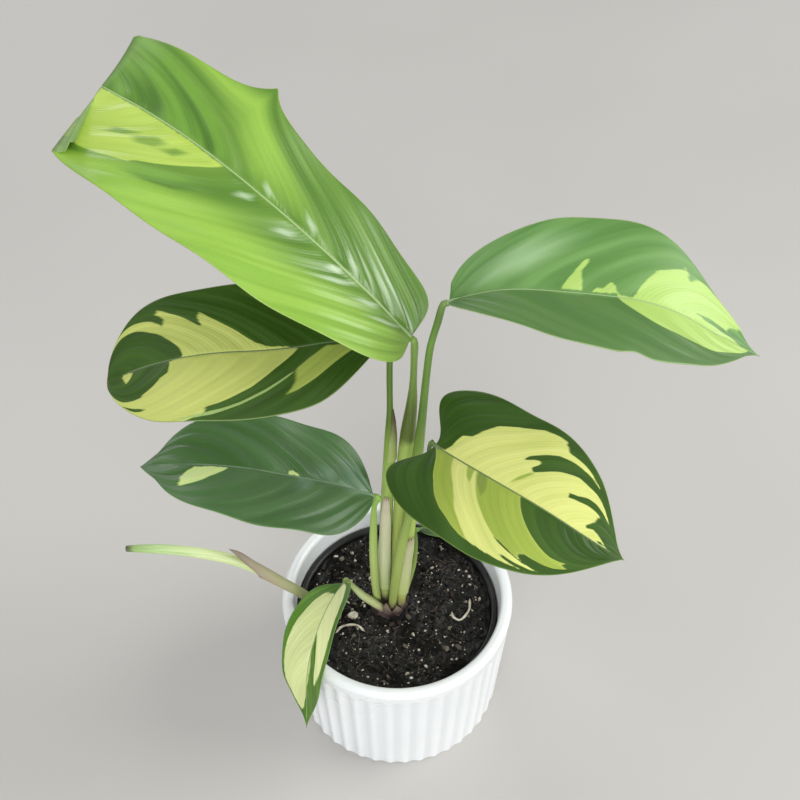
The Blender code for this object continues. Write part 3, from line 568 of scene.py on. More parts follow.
def leafMesh(name):
    # closed thin shell: the middle surface moved along its normal both ways and joined round the margin,
    # with a tapering rib tube under the midrib
    leaf = leafShapes[name]
    rows, columns = leaf["grid"]
    s = rowPlaces(leaf, rows)
    even = np.linspace(-1, 1, columns)
    across = np.sign(even) * np.abs(even) ** 1.25
    middle = bladeSurface(leaf, s, across)
    normal = np.cross(np.gradient(middle, axis=0), np.gradient(middle, axis=1))
    normal /= np.maximum(np.linalg.norm(normal, axis=2), 1e-9)[..., None]
    half = halfWidth(s, leaf)
    wall = 0.34 * (1 - 0.5 * np.abs(across) ** 6)[None, :] * np.minimum(1, 0.35 + half / 6)[:, None]
    lateral = across[None, :] * half[:, None]
    groove = 0.22 * np.exp(-(lateral / 0.7) ** 2) * np.minimum(1, half / 4)[:, None]
    top = middle + (wall - groove)[..., None] * normal
    bottom = middle - wall[..., None] * normal
    count = rows * columns
    grid = gridQuads(rows, columns)
    i, j = np.arange(rows - 1) * columns, np.arange(columns - 1)
    last, end = columns - 1, (rows - 1) * columns
    seams = [(i + last, i + columns + last, i + columns + last + count, i + last + count),
             (i, i + count, i + columns + count, i + columns),
             (j, j + 1, j + 1 + count, j + count),
             (end + j, end + j + count, end + j + 1 + count, end + j + 1)]
    faces = np.vstack([grid[:, ::-1], grid + count] + [np.stack(seam, axis=-1) for seam in seams]).tolist()

    route, forward, left, up = midrib(leaf, np.linspace(0, 1, 961))
    along = np.linspace(0, 0.93, 120)
    pick = np.rint(along * 960).astype(int)
    radius = (leaf["rib"] - 0.28) * (1 - along) ** 1.1 + 0.28
    drop = (radius - 0.30) * smoothStep(0.0, 0.05, along)
    spine = np.column_stack([route[pick] - drop[:, None] * up[pick], radius])
    spine = np.vstack([np.append(spine[0, :3] - 1.6 * forward[0], radius[0] * 0.97), spine])
    ribPoints, ribFaces = ringTube(spine, np.repeat(spine[:, 3:], 12, axis=1), 12)
    faces += [[corner + 2 * count for corner in face] for face in ribFaces]

    look = leafLook(name)
    obj = surface(name + "_blade", np.vstack([top.reshape(-1, 3), bottom.reshape(-1, 3), ribPoints]), faces, look)
    v = (s[:, None] - leaf["sweep"] * np.abs(across)[None, :] ** 1.5)
    u = np.broadcast_to(across[None, :], v.shape)
    patches = leafPatches[name]
    fields = {kind: patchField(v, u, patches[kind], leaf) for kind in patchOrder if kind in patches}
    if "creamHoles" in patches:
        fields["cream"] = np.minimum(fields["cream"], -patchField(v, u, patches["creamHoles"], leaf))
    # painted shade past the fold: a band over the first 16 mm of the blade beyond it
    if "fold" in leaf:
        past = (s - leaf["fold"][0] - 0.003) * leaf["length"]
        fields["paintedFoldShade"] = np.broadcast_to(np.minimum(past, 16 - past)[:, None], v.shape)
    for kind in ("inner", "shade"):
        if kind in fields:
            fields[kind] = np.minimum(fields[kind], fields["cream"])
    outside = (1 - np.abs(u)) * half[:, None]
    ribCount = len(ribPoints)

    def both(values, ribValue):
        return np.concatenate([values.ravel(), values.ravel(), np.full(ribCount, float(ribValue))])

    way = np.stack([v * leaf["length"] * 0.1, np.abs(lateral) * 0.1, 3.0 * np.sign(u)], axis=-1).reshape(-1, 3)
    ribWay = np.zeros((ribCount, 3))
    ribWay[:, 0] = np.linspace(0, leaf["length"] * 0.1, ribCount)
    addAttribute(obj, "veinWay", np.vstack([way, way, ribWay]))
    for kind, field in fields.items():
        addAttribute(obj, kind, both(field, -60))
    narrowing = 0.35 + 0.65 * np.clip(1 - s / 0.9, 0, 1)[:, None]
    addAttribute(obj, "nearRib", both(np.abs(lateral) / narrowing, 0))
    addAttribute(obj, "swell", both(quilting(leaf, s, across, half) / leaf["quilt"][0][0], 0))
    addAttribute(obj, "outside", both(outside, 20))
    addAttribute(obj, "along", both(np.broadcast_to(s[:, None], v.shape), 0.5))
    addAttribute(obj, "top", np.concatenate([np.ones(count), np.zeros(count + ribCount)]))
    declare(obj, name, name)
    return obj


def leafLook(name):
    # blade: a green that drifts along the side veins and with the quilting (lighter on the swellings, and painted shade
    # in the hollows), patches whose edges fray a little along the veins, some of them painted light (highlights, shade,
    # the shade past the fold), a midrib that narrows and changes colour towards the tip, a thin bright margin, a matt
    # grey-green underside, and faint vein lines in colour and bump
    c = leafColours[name]
    look, tree, shader = newLook(name, Roughness=c["roughness"], Specular_IOR_Level=c["shine"])
    way = attribute(tree, "veinWay", "Vector")
    cloud = noise(tree, stretched(tree, way, (0.8, 0.35, 1.0)), 0.8, 1.6)
    streak = noise(tree, stretched(tree, way, (4.5, 0.3, 1.0)), 1.2, 2.0)
    tone = calc(tree, "ADD", calc(tree, "MULTIPLY", cloud, 0.88), calc(tree, "MULTIPLY", streak, 0.12))
    # the quilting height lightens the swellings and darkens the hollows: partly the leaf's vein bands, partly painted
    # shade
    tone = calc(tree, "ADD", tone, calc(tree, "MULTIPLY", attribute(tree, "swell"), 0.09))
    colour = ramp(tree, tone, list(zip((0.33, 0.5, 0.67), c["green"])))
    fray = noise(tree, stretched(tree, way, (2.2, 0.3, 1.0)), 1.8, 3.0, 0.55)
    fray = calc(tree, "MULTIPLY", calc(tree, "SUBTRACT", fray, 0.5), 2 * c["jag"])
    # raised chooses between each patch's colour and its darker hollow colour; where it follows the quilting the darker
    # colour is painted shade
    raised = spread(tree, tone, 0.36, 0.62)
    for kind in patchOrder:
        if kind not in c:
            continue
        light, hollow, soft, share = c[kind]
        shifted = calc(tree, "ADD", attribute(tree, kind), fray)
        colour = blend(tree, spread(tree, shifted, -soft, soft, 0.0, share), colour,
                       blend(tree, raised, hollow, light))
    lines = calc(tree, "SINE", calc(tree, "MULTIPLY", add(tree, "SeparateXYZ", {0: way}).outputs[0], 29.0))
    lines = calc(tree, "MULTIPLY", calc(tree, "ADD", lines, 1.0), 0.5)
    colour = blend(tree, calc(tree, "MULTIPLY", lines, 0.045), colour, c["green"][0])
    along = attribute(tree, "along")
    foot, end, width = c["rib"]
    ribColour = blend(tree, spread(tree, along, 0.15, 0.75), foot, end)
    colour = blend(tree, spread(tree, attribute(tree, "nearRib"), 0.35 * width, width, 0.85, 0.0), colour, ribColour)
    colour = blend(tree, spread(tree, attribute(tree, "outside"), 0.05, 0.6, 0.7, 0.0), colour, c["rim"])
    colour = blend(tree, spread(tree, along, 0.988, 1.0, 0.0, 0.8), colour, (0.20, 0.14, 0.05))
    top = attribute(tree, "top")
    below = blend(tree, 0.6, colour, c["under"])
    colour = blend(tree, spread(tree, top, 0.3, 0.7), below, colour)
    tree.links.new(colour, shader.inputs["Base Color"])
    rough = spread(tree, cloud, 0.3, 0.7, c["roughness"] - 0.04, c["roughness"] + 0.08)
    matt = spread(tree, top, 0.3, 0.7, 0.22, 0.0)
    # the band of painted shade past the fold is also made more matt
    if "paintedFoldShade" in c:
        matt = calc(tree, "ADD", matt, spread(tree, attribute(tree, "paintedFoldShade"), -2.5, 0.0, 0.0, 0.3))
    tree.links.new(calc(tree, "ADD", rough, matt), shader.inputs["Roughness"])
    height = calc(tree, "ADD", calc(tree, "MULTIPLY", lines, 0.5), calc(tree, "MULTIPLY", cloud, 2.5))
    bump(tree, shader, height, 0.22, 0.0003)
    return look


# stems

stems = {
    "tall_stem": ((-1, 4.5, 83.4, 2.8), (0, 4.5, 122, 3.7), (2.5, 4, 180, 4.2), (5, 3.5, 231, 3.9),
                  (7, 3, 258, 2.8), (7.7, 2.5, 275, 1.8), (8, 2, 292, 1.6)),
    "right_stem": ((2, -1, 83.4, 2.4), (4.5, -1.5, 131, 3.2), (8, -2.5, 188, 3.2), (10.5, -3, 230, 2.7),
                   (12.2, -3, 258, 2.1), (13.5, -3.5, 284, 1.8), (15, -4, 305, 1.7),
                   (18, -4.5, 322, 1.5)),
    "middle_stem": ((-7, 3.5, 83.4, 2.6), (-7.2, 3.8, 123, 3.2), (-5.6, 3.8, 176, 3.4),
                    (-3.6, 3.2, 231, 2.8), (-3.4, 2.5, 255, 1.6), (-3.4, 2, 280, 1.5),
                    (-3.2, 1.4, 294, 1.4)),
    "lower_stem": ((-11.5, 1, 83.4, 2.2), (-12.7, -2.5, 111, 2.4), (-13, -6, 146, 2.3),
                   (-12.6, -7.5, 172, 1.9), (-11.8, -8.3, 191, 1.4)),
    "front_stem": ((-3.2, -2.2, 83.4, 2.3), (-0.6, -5.6, 121, 2.7), (3, -10.5, 163, 2.4),
                   (8.5, -20, 212, 1.6), (13.5, -27, 248, 0.95)),
    "rim_stem": ((-9, -4.5, 84, 2), (-10.2, -4.8, 87, 2.3), (-14.6, -5.2, 93, 2.4), (-20.4, -5, 100, 2.2),
                 (-25.4, -3.4, 106.5, 1.6)),
    "small_stem": ((3.4, 3.2, 83.4, 1.5), (6.2, 5.2, 96, 1.5), (9.6, 7.4, 114, 1.3),
                   (10.4, 8.6, 132, 1.2)),
}
stemKnee = 3.0
stemJoin = 0.6

# colours from the crown up, each at its share of the stem's height; the last ones are the joint under
# the blade
stemColours = {
    "tall_stem": ((0.0, (0.16, 0.10, 0.09)), (0.06, (0.40, 0.48, 0.13)), (0.50, (0.40, 0.51, 0.12)),
                  (0.645, (0.34, 0.46, 0.10)), (0.665, (0.095, 0.14, 0.02)), (0.76, (0.085, 0.13, 0.018)),
                  (0.83, (0.13, 0.23, 0.035)), (1.0, (0.20, 0.34, 0.06))),
    "right_stem": ((0.0, (0.18, 0.12, 0.10)), (0.05, (0.46, 0.52, 0.13)), (0.35, (0.38, 0.50, 0.10)),
                   (0.55, (0.19, 0.32, 0.04)), (0.72, (0.085, 0.19, 0.015)), (0.9, (0.13, 0.27, 0.04)),
                   (0.96, (0.10, 0.19, 0.04)), (1.0, (0.16, 0.27, 0.07))),
    "middle_stem": ((0.0, (0.16, 0.10, 0.09)), (0.05, (0.40, 0.48, 0.15)), (0.5, (0.30, 0.43, 0.09)),
                    (0.66, (0.24, 0.38, 0.05)), (0.74, (0.085, 0.17, 0.015)), (0.9, (0.075, 0.16, 0.012)),
                    (1.0, (0.10, 0.20, 0.03))),
    "lower_stem": ((0.0, (0.18, 0.13, 0.09)), (0.06, (0.46, 0.56, 0.18)), (0.5, (0.44, 0.56, 0.17)),
                   (0.8, (0.30, 0.46, 0.09)), (1.0, (0.24, 0.44, 0.06))),
    "front_stem": ((0.0, (0.16, 0.10, 0.08)), (0.06, (0.36, 0.44, 0.12)), (0.4, (0.34, 0.45, 0.11)),
                   (0.7, (0.18, 0.31, 0.04)), (1.0, (0.07, 0.16, 0.015))),
    "rim_stem": ((0.0, (0.24, 0.18, 0.14)), (0.2, (0.50, 0.52, 0.25)), (0.7, (0.50, 0.58, 0.27)),
                 (1.0, (0.28, 0.42, 0.08))),
    "small_stem": ((0.0, (0.18, 0.13, 0.09)), (0.2, (0.36, 0.46, 0.13)), (1.0, (0.14, 0.28, 0.04))),
}


def stemRoute(name):
    # a stem's stations, with the last two in line with the foot of its blade
    leaf = leafShapes[name.replace("_stem", "_leaf")]
    e, a = math.radians(leaf["slopes"][0]), math.radians(leaf["heading"])
    forward = np.array([math.cos(e) * math.cos(a), math.cos(e) * math.sin(a), math.sin(e)])
    thin = stems[name][-1][3]
    ends = tuple((*(np.array(leaf["base"]) - reach * forward), thin) for reach in (stemKnee, stemJoin))
    return stems[name] + ends


def stemLook(name):
    # colour follows the height, with fine lengthwise ribbing and faint blotches
    look, tree, shader = newLook(name, Roughness=0.38)
    rise = attribute(tree, "rise")
    way = attribute(tree, "stemWay", "Vector")
    fibre = noise(tree, stretched(tree, way, (0.25, 9.0, 9.0)), 1.6, 3.0)
    blotch = noise(tree, objectPlace(tree), 60.0, 2.0)
    shifted = calc(tree, "ADD", rise, calc(tree, "MULTIPLY", calc(tree, "SUBTRACT", blotch, 0.5), 0.06))
    colour = ramp(tree, shifted, stemColours[name])
    colour = blend(tree, spread(tree, fibre, 0.45, 0.75, 0.0, 0.22), colour, (0.55, 0.62, 0.24))
    colour = blend(tree, spread(tree, fibre, 0.25, 0.45, 0.28, 0.0), colour, (0.10, 0.17, 0.02))
    tree.links.new(colour, shader.inputs["Base Color"])
    bump(tree, shader, fibre, 0.4, 0.0003)
    return look


def stem(name):
    # tube whose reach is the station radius, pinched by a shallow channel on one side that turns slowly
    # up the stem, with a slight swelling at the joint under the blade
    count, sides = 30 + 12 * len(stems[name]), 28
    route = spline(stemRoute(name), count)
    rise = np.linspace(0, 1, count)
    turn = np.linspace(0, math.tau, sides, endpoint=False)
    channel = np.exp(-((np.angle(np.exp(1j * (turn[None, :] - 1.2 - 1.5 * rise[:, None]))) / 0.5) ** 2))
    depth = 0.16 * (1 - smoothStep(0.75, 0.95, rise))
    swell = 1 + 0.14 * np.exp(-((rise - 0.955) / 0.03) ** 2)
    ribbed = 1 + 0.02 * np.cos(9 * turn)[None, :] * (1 - smoothStep(0.8, 1.0, rise))[:, None]
    reach = (route[:, 3] * swell)[:, None] * (1 - depth[:, None] * channel) * ribbed
    points, faces = ringTube(route, reach, sides)
    obj = surface(name + "_stalk", points, faces, stemLook(name))
    length = np.concatenate([[0], np.cumsum(np.linalg.norm(np.diff(route[:, :3], axis=0), axis=1))]) * 0.1
    way = np.stack([np.repeat(length, sides), np.tile(np.cos(turn), count), np.tile(np.sin(turn), count)], axis=-1)
    ends = np.array(((0, 0, 0), (length[-1], 0, 0)), float)
    addAttribute(obj, "stemWay", np.vstack([way, ends]))
    addAttribute(obj, "rise", np.concatenate([np.repeat(rise, sides), [0.0, 1.0]]))
    declare(obj, "stem_green", name)
    return obj


def around(stations, s, angle, gap):
    # points at a side angle round a route, s from 0 to 1 along it
    route = spline(stations, 161)
    fine = np.linspace(0, 1, 161)
    parts = (route,) + routeFrame(route)[1:]
    middle, one, two = (np.stack([np.interp(s, fine, part[:, k]) for k in range(3)], axis=-1) for part in parts)
    reach = (np.interp(s, fine, route[:, 3]) + gap)[..., None]
    turn = np.radians(angle)[..., None]
    return middle + reach * (np.cos(turn) * one + np.sin(turn) * two)


# dry membranes that wrap part of a stem: start and end along it, side angles in degrees
# and their colours from foot to tip
membranes = {
    "dry_sheath_left": dict(stem="middle_stem", span=(0.06, 0.47), sides=(195, 335), narrowing=0.72, torn=0.02,
                            colours=((0.46, 0.54, 0.22), (0.62, 0.66, 0.40), (0.62, 0.60, 0.42), (0.56, 0.46, 0.37))),
    "dry_sheath_right": dict(stem="right_stem", span=(0.06, 0.30), sides=(215, 365), narrowing=0.6, torn=0.03,
                             colours=((0.50, 0.59, 0.20), (0.52, 0.56, 0.28), (0.48, 0.49, 0.28), (0.38, 0.33, 0.20))),
    "dry_tip": dict(stem="middle_stem", span=(0.60, 0.78), sides=(255, 385), narrowing=0.93, torn=0.01,
                    colours=((0.36, 0.46, 0.13), (0.34, 0.42, 0.14), (0.16, 0.11, 0.07), (0.045, 0.026, 0.02))),
}
membraneGap = 0.45
membraneWall = 0.45


def thinShell(inner, outer, wrapped=False):
    # closed shell of two grids of points, joined round their borders
    rows, columns = inner.shape[:2]
    count = rows * columns
    grid = gridQuads(rows, columns, wrapped)
    j = np.arange(columns if wrapped else columns - 1)
    k = (j + 1) % columns
    end = (rows - 1) * columns
    seams = [(j, k, k + count, j + count), (end + j, end + j + count, end + k + count, end + k)]
    if not wrapped:
        i, last = np.arange(rows - 1) * columns, columns - 1
        seams += [(i, i + count, i + columns + count, i + columns),
                  (i + last, i + columns + last, i + columns + last + count, i + last + count)]
    faces = np.vstack([grid[:, ::-1], grid + count] + [np.stack(seam, axis=-1) for seam in seams])
    return np.vstack([inner.reshape(-1, 3), outer.reshape(-1, 3)]), faces.tolist()


def membraneLook(name):
    # papery: colours from foot to tip with long fibres, darker in a thin line along its free edges
    look, tree, shader = newLook(name, Roughness=0.5)
    way = attribute(tree, "stemWay", "Vector")
    fibre = noise(tree, stretched(tree, way, (0.5, 7.0, 7.0)), 2.0, 4.0, 0.6)
    spots = noise(tree, objectPlace(tree), 90.0, 3.0)
    rise = calc(tree, "ADD", attribute(tree, "rise"), calc(tree, "MULTIPLY", calc(tree, "SUBTRACT", spots, 0.5), 0.25))
    colour = ramp(tree, rise, list(zip((0.0, 0.35, 0.8, 1.0), membranes[name]["colours"])))
    colour = blend(tree, spread(tree, fibre, 0.2, 0.48, 0.4, 0.0), colour, (0.20, 0.18, 0.09))
    colour = blend(tree, spread(tree, attribute(tree, "edge"), 0.86, 1.0, 0.0, 0.3), colour, (0.30, 0.22, 0.13))
    tree.links.new(colour, shader.inputs["Base Color"])
    bump(tree, shader, fibre, 0.5, 0.0003)
    return look


def membrane(name):
    # strip round part of a stem, narrower towards its upper end, with a wavy free edge and a torn top
    spec = membranes[name]
    t, u = np.meshgrid(np.linspace(0, 1, 90), np.linspace(-1, 1, 34), indexing="ij")
    low, high = spec["sides"]
    half = 0.5 * (high - low) * (1 - spec["narrowing"] * t * t)
    half = half * (1 - 0.06 * np.sin(15 * t + 2 * u) * np.abs(u) ** 3)
    start, end = spec["span"]
    torn = 1 - spec["torn"] * (1 + np.sin(9 * u + 1)) * t ** 6
    s = start + (end - start) * t * torn
    lift = 0.35 * np.abs(u) ** 4 * (0.6 + 0.4 * np.sin(14 * t + 3 * u))
    angle = 0.5 * (low + high) + half * u
    stations = stemRoute(spec["stem"])
    inner = around(stations, s, angle, membraneGap + lift)
    outer = around(stations, s, angle, membraneGap + membraneWall * (1 - 0.6 * np.abs(u) ** 4) + lift)
    points, faces = thinShell(inner, outer)
    obj = surface(name + "_skin", points, faces, membraneLook(name))
    way = np.stack([t * 4, 1.5 * u, 0 * u], axis=-1).reshape(-1, 3)
    addAttribute(obj, "stemWay", np.vstack([way, way]))
    edge = np.maximum(np.abs(u) ** 2, t ** 12)
    addAttribute(obj, "edge", np.concatenate([edge.ravel(), edge.ravel()]))
    addAttribute(obj, "rise", np.concatenate([t.ravel(), t.ravel()]))
    declare(obj, "membrane", name)
    return obj


# rolled new leaf and its sheath

rollStations = ((-36, -5, 68, 1.8), (-40, -5, 78, 1.8), (-46, -4.8, 89, 1.9), (-56, -4.2, 101.5, 2.0),
                (-66, -3.2, 110.5, 2.2), (-77, -1.2, 118.5, 2.6), (-87, 0.4, 124.6, 3.0),
                (-98, 2, 128.6, 3.3), (-113, 4, 130.4, 3.2), (-131, 6, 130.6, 3.0),
                (-144, 7.2, 129.4, 2.5), (-153.2, 8, 128.2, 1.8))
rollSheath = dict(start=0.17, end=0.455, point=0.15, lift=6.5, gap=0.4, wall=0.5)


def rolledLook():
    # pale lime, greener in stripes along the roll, with a darker line at the seam
    look, tree, shader = newLook("rolled_leaf", Roughness=0.42)
    rise = attribute(tree, "rise")
    way = attribute(tree, "stemWay", "Vector")
    fibre = noise(tree, stretched(tree, way, (0.3, 5.0, 5.0)), 1.4, 3.0)
    colour = ramp(tree, rise, ((0.0, (0.30, 0.36, 0.14)), (0.25, (0.42, 0.50, 0.20)), (0.5, (0.62, 0.72, 0.34)),
                               (0.7, (0.72, 0.84, 0.42)), (0.88, (0.50, 0.68, 0.29)), (0.965, (0.34, 0.50, 0.16)),
                               (0.985, (0.09, 0.11, 0.04)), (1.0, (0.05, 0.05, 0.03))))
    colour = blend(tree, spread(tree, fibre, 0.52, 0.62, 0.0, 0.55), colour, (0.28, 0.46, 0.14))
    colour = blend(tree, spread(tree, attribute(tree, "seam"), 0.55, 0.95, 0.0, 0.8), colour, (0.16, 0.28, 0.06))
    tree.links.new(colour, shader.inputs["Base Color"])
    bump(tree, shader, fibre, 0.4, 0.0003)
    return look


def rolledLeaf():
    # tube whose reach shrinks slowly round each ring and steps back at the seam, like a rolled sheet;
    # the seam turns half round along the roll
    count, sides = 150, 48
    route = spline(rollStations, count)
    rise = np.linspace(0, 1, count)
    turn = np.linspace(0, 1, sides, endpoint=False)
    seamAt = 0.15 + 0.45 * rise[:, None]
    since = (turn[None, :] - seamAt) % 1.0
    rolled = smoothStep(0.35, 0.5, rise)[:, None]
    step = 1 - 0.16 * rolled * (since ** 0.8)
    reach = route[:, 3:] * step
    points, faces = ringTube(route, reach, sides)
    obj = surface("rolled_leaf_roll", points, faces, rolledLook())
    angle = math.tau * turn
    way = np.stack([np.repeat(rise * 14, sides), np.tile(np.cos(angle), count), np.tile(np.sin(angle), count)],
                   axis=-1)
    addAttribute(obj, "stemWay", np.vstack([way, ((0, 0, 0), (14, 0, 0))]))
    addAttribute(obj, "rise", np.concatenate([np.repeat(rise, sides), [0.0, 1.0]]))
    seam = np.exp(-((1 - since) / 0.05) ** 2) * rolled
    addAttribute(obj, "seam", np.concatenate([seam.ravel(), [0.0, 0.0]]))
    declare(obj, "rolled_leaf", "rolled_leaf")
    return obj


def sheathLook():
    # greenish beige that turns pinkish brown towards the point, with long fibres
    look, tree, shader = newLook("rolled_sheath", Roughness=0.5)
    way = attribute(tree, "stemWay", "Vector")
    fibre = noise(tree, stretched(tree, way, (0.35, 6.0, 6.0)), 2.0, 4.0, 0.6)
    spots = noise(tree, objectPlace(tree), 70.0, 3.0)
    rise = calc(tree, "ADD", attribute(tree, "rise"), calc(tree, "MULTIPLY", calc(tree, "SUBTRACT", spots, 0.5), 0.3))
    colour = ramp(tree, rise, ((0.1, (0.26, 0.31, 0.11)), (0.4, (0.36, 0.39, 0.17)), (0.66, (0.38, 0.35, 0.20)),
                               (0.86, (0.37, 0.31, 0.22)), (1.0, (0.25, 0.19, 0.14))))
    colour = blend(tree, spread(tree, fibre, 0.45, 0.75, 0.0, 0.4), colour, (0.48, 0.46, 0.27))
    tree.links.new(colour, shader.inputs["Base Color"])
    bump(tree, shader, fibre, 0.6, 0.0004)
    return look


def rolledLeafSheath():
    # open sleeve round the roll, cut slanting so that its upper side ends in a point that stands off
    t, turn = np.meshgrid(np.linspace(0, 1, 110), np.arange(0, 360, 7.5), indexing="ij")
    upper = 0.5 + 0.5 * np.cos(np.radians(turn))
    end = rollSheath["end"] + rollSheath["point"] * np.clip(1 - np.minimum(turn, 360 - turn) / 110, 0, 1) ** 1.7
    s = rollSheath["start"] + (end - rollSheath["start"]) * t
    flare = 0.4 * smoothStep(0.75, 1.0, t) * upper + rollSheath["lift"] * smoothStep(0.49, 0.66, s) * upper ** 2
    inner = around(rollStations, s, turn, rollSheath["gap"] + flare)
    outer = around(rollStations, s, turn, rollSheath["gap"] + rollSheath["wall"] * (1 - 0.5 * t ** 8) + flare)
    points, faces = thinShell(inner, outer, wrapped=True)
    obj = surface("rolled_sheath_sleeve", points, faces, sheathLook())
    angle = np.radians(turn)
    way = np.stack([t * 6, np.cos(angle), np.sin(angle)], axis=-1).reshape(-1, 3)
    addAttribute(obj, "stemWay", np.vstack([way, way]))
    addAttribute(obj, "rise", np.concatenate([t.ravel(), t.ravel()]))
    declare(obj, "membrane", "rolled_sheath")
    return obj


# pots

pot = dict(rimRadius=67.0, footRadius=62.2, height=95.0, mouth=60.2, innerFoot=54.5, floor=6.0,
           flutes=42, fluteDepth=1.5, fluteTop=87.0, arch=4.0)
growPot = dict(rimRadius=58.4, footRadius=46.0, top=81.5, wall=1.6)
gap = 0.35


def lathe(name, profile, sides, look, outerDepth=None):
    # profile of (radius, height) points from the axis round to the axis again, turned about Z; the two
    # points on the axis become single points, and outerDepth(radius, height, turn) may pull a point inwards
    profile = np.asarray(profile, float)
    turn = np.linspace(0, math.tau, sides, endpoint=False)
    radius = np.repeat(profile[1:-1, :1], sides, axis=1)
    height = np.repeat(profile[1:-1, 1:], sides, axis=1)
    if outerDepth:
        radius = radius - outerDepth(radius, height, turn[None, :])
    rings = np.stack([radius * np.cos(turn), radius * np.sin(turn), height], axis=-1)
    rows = len(profile) - 2
    points = np.vstack([rings.reshape(-1, 3), [(0, 0, profile[0, 1]), (0, 0, profile[-1, 1])]])
    faces = gridQuads(rows, sides, wrapped=True)[:, ::-1].tolist()
    k = np.arange(sides)
    following = (k + 1) % sides
    first, last = rows * sides, rows * sides + 1
    end = (rows - 1) * sides
    faces += np.stack([k, following, np.full(sides, first)], axis=-1).tolist()
    faces += np.stack([end + following, end + k, np.full(sides, last)], axis=-1).tolist()
    return surface(name, points, faces, look)


def through(points, count):
    # evenly spaced points along straight runs, so that a profile has rings all the way
    points = np.asarray(points, float)
    run = np.concatenate([[0], np.cumsum(np.hypot(*np.diff(points, axis=0).T))])
    even = np.union1d(np.linspace(0, run[-1], count), run)
    return np.column_stack([np.interp(even, run, points[:, k]) for k in range(2)])


def arc(x, z, radius, start, end, count=9):
    # points of a circle arc between two angles in degrees
    a = np.radians(np.linspace(start, end, count))
    return np.column_stack([x + radius * np.cos(a), z + radius * np.sin(a)])


def glazeLook():
    # satin white glaze: faint cloudy tone, greyed in the flutes as painted shade, soft gloss
    look, tree, shader = newLook("white_glaze", Roughness=0.3, Coat_Weight=0.25, Coat_Roughness=0.25)
    place = objectPlace(tree)
    cloud = noise(tree, place, 14.0, 4.0)
    speck = noise(tree, place, 700.0, 2.0)
    colour = ramp(tree, cloud, ((0.35, (0.84, 0.865, 0.875)), (0.65, (0.89, 0.91, 0.92))))
    # painted shade: grey that deepens with the flutes' depth
    colour = blend(tree, spread(tree, attribute(tree, "deep"), 0.2, 1.0, 0.0, 0.5), colour, (0.70, 0.72, 0.73))
    colour = blend(tree, spread(tree, speck, 0.74, 0.80, 0.0, 0.25), colour, (0.62, 0.60, 0.55))
    tree.links.new(colour, shader.inputs["Base Color"])
    tree.links.new(spread(tree, cloud, 0.3, 0.7, 0.26, 0.38), shader.inputs["Roughness"])
    bump(tree, shader, cloud, 0.15, 0.0006)
    return look


def fluteShape(turn):
    # 0 on a rib and 1 in a flute's middle; the ribs are a little narrower than the flutes
    wave = 0.5 - 0.5 * np.cos(pot["flutes"] * turn)
    return wave ** 0.8


def fluteDepth(radius, height, turn):
    # how far the outer wall lies inside its plain cone: flutes that end in an arch below the rim band
    wall = pot["footRadius"] + (pot["rimRadius"] - pot["footRadius"]) * height / pot["height"]
    outer = (radius > wall - 2.5) & (height < pot["fluteTop"] + 1)
    reachUp = pot["fluteTop"] - pot["arch"] * (1 - fluteShape(turn)) ** 2
    fade = smoothStep(0.0, 4.5, reachUp - height) * smoothStep(-1.5, 2.0, height)
    return np.where(outer, pot["fluteDepth"] * fade * fluteShape(turn), 0)


def ceramicPot():
    rim, mouth, top = pot["rimRadius"], pot["mouth"], pot["height"]
    inner = through([(pot["innerFoot"] - 3, pot["floor"]), (pot["innerFoot"], pot["floor"] + 3),
                     (mouth, top - 3.2)], 26)
    outer = through([(rim - 0.25, top - 5.5), (pot["footRadius"] + 0.1, 1.4)], 84)
    profile = np.vstack([[(0, pot["floor"])], inner, arc(mouth + 2.9, top - 3.0, 2.9, 172, 95, 8),
                         arc(rim - 3.4, top - 3.4, 3.4, 86, -14, 12), outer[1:],
                         arc(pot["footRadius"] - 1.4, 1.4, 1.4, -10, -90, 6),
                         [(pot["footRadius"] - 5, 0.0), (pot["footRadius"] - 6.5, 0.9), (0, 0.9)]])
    obj = lathe("ceramic_pot_glazed", profile, pot["flutes"] * 12, glazeLook(), fluteDepth)
    places = np.empty(len(obj.data.vertices) * 3)
    obj.data.vertices.foreach_get("co", places)
    x, y, z = places.reshape(-1, 3).T * 1000
    addAttribute(obj, "deep", fluteDepth(np.hypot(x, y), z, np.arctan2(y, x)) / pot["fluteDepth"])
    declare(obj, "ceramic_white", "ceramic_pot")
    return obj


def growLook():
    # black plastic with a dusty, slightly scuffed rim
    look, tree, shader = newLook("grow_pot_black", Roughness=0.45)
    place = objectPlace(tree)
    dust = noise(tree, place, 120.0, 5.0, 0.65)
    colour = ramp(tree, dust, ((0.45, (0.008, 0.009, 0.008)), (0.62, (0.022, 0.022, 0.020)), (0.8, (0.06, 0.055, 0.045))))
    tree.links.new(colour, shader.inputs["Base Color"])
    tree.links.new(spread(tree, dust, 0.4, 0.7, 0.36, 0.62), shader.inputs["Roughness"])
    bump(tree, shader, dust, 0.3, 0.0003)
    return look


def blackGrowPot():
    rim, foot, top, wall = growPot["rimRadius"], growPot["footRadius"], growPot["top"], growPot["wall"]
    low = pot["floor"] + gap
    inner = through([(foot - wall, low + wall), (rim - wall - 1, top - 0.5)], 24)
    lip = np.vstack([arc(rim - wall - 0.5, top - 0.5, 0.5, 180, 90, 5), arc(rim - 0.6, top - 0.6, 0.6, 90, 0, 5)])
    outer = through([(rim, top - 4.8), (rim - 0.9, top - 5.3), (foot, low)], 24)
    profile = np.vstack([[(0, low + wall)], inner, lip, outer, [(0, low)]])
    obj = lathe("grow_pot_liner", profile, 180, growLook())
    declare(obj, "grow_pot_black", "grow_pot")
    return obj


# soil, crown and pale bits

soilTop = 78.0
soilLump = 1.6
soilRadius = growPot["rimRadius"] - growPot["wall"] - 1 - 2 * gap
crown = dict(x=-4.4, y=0.2, radius=12.0, oval=0.84, top=83.0, depth=12.0)


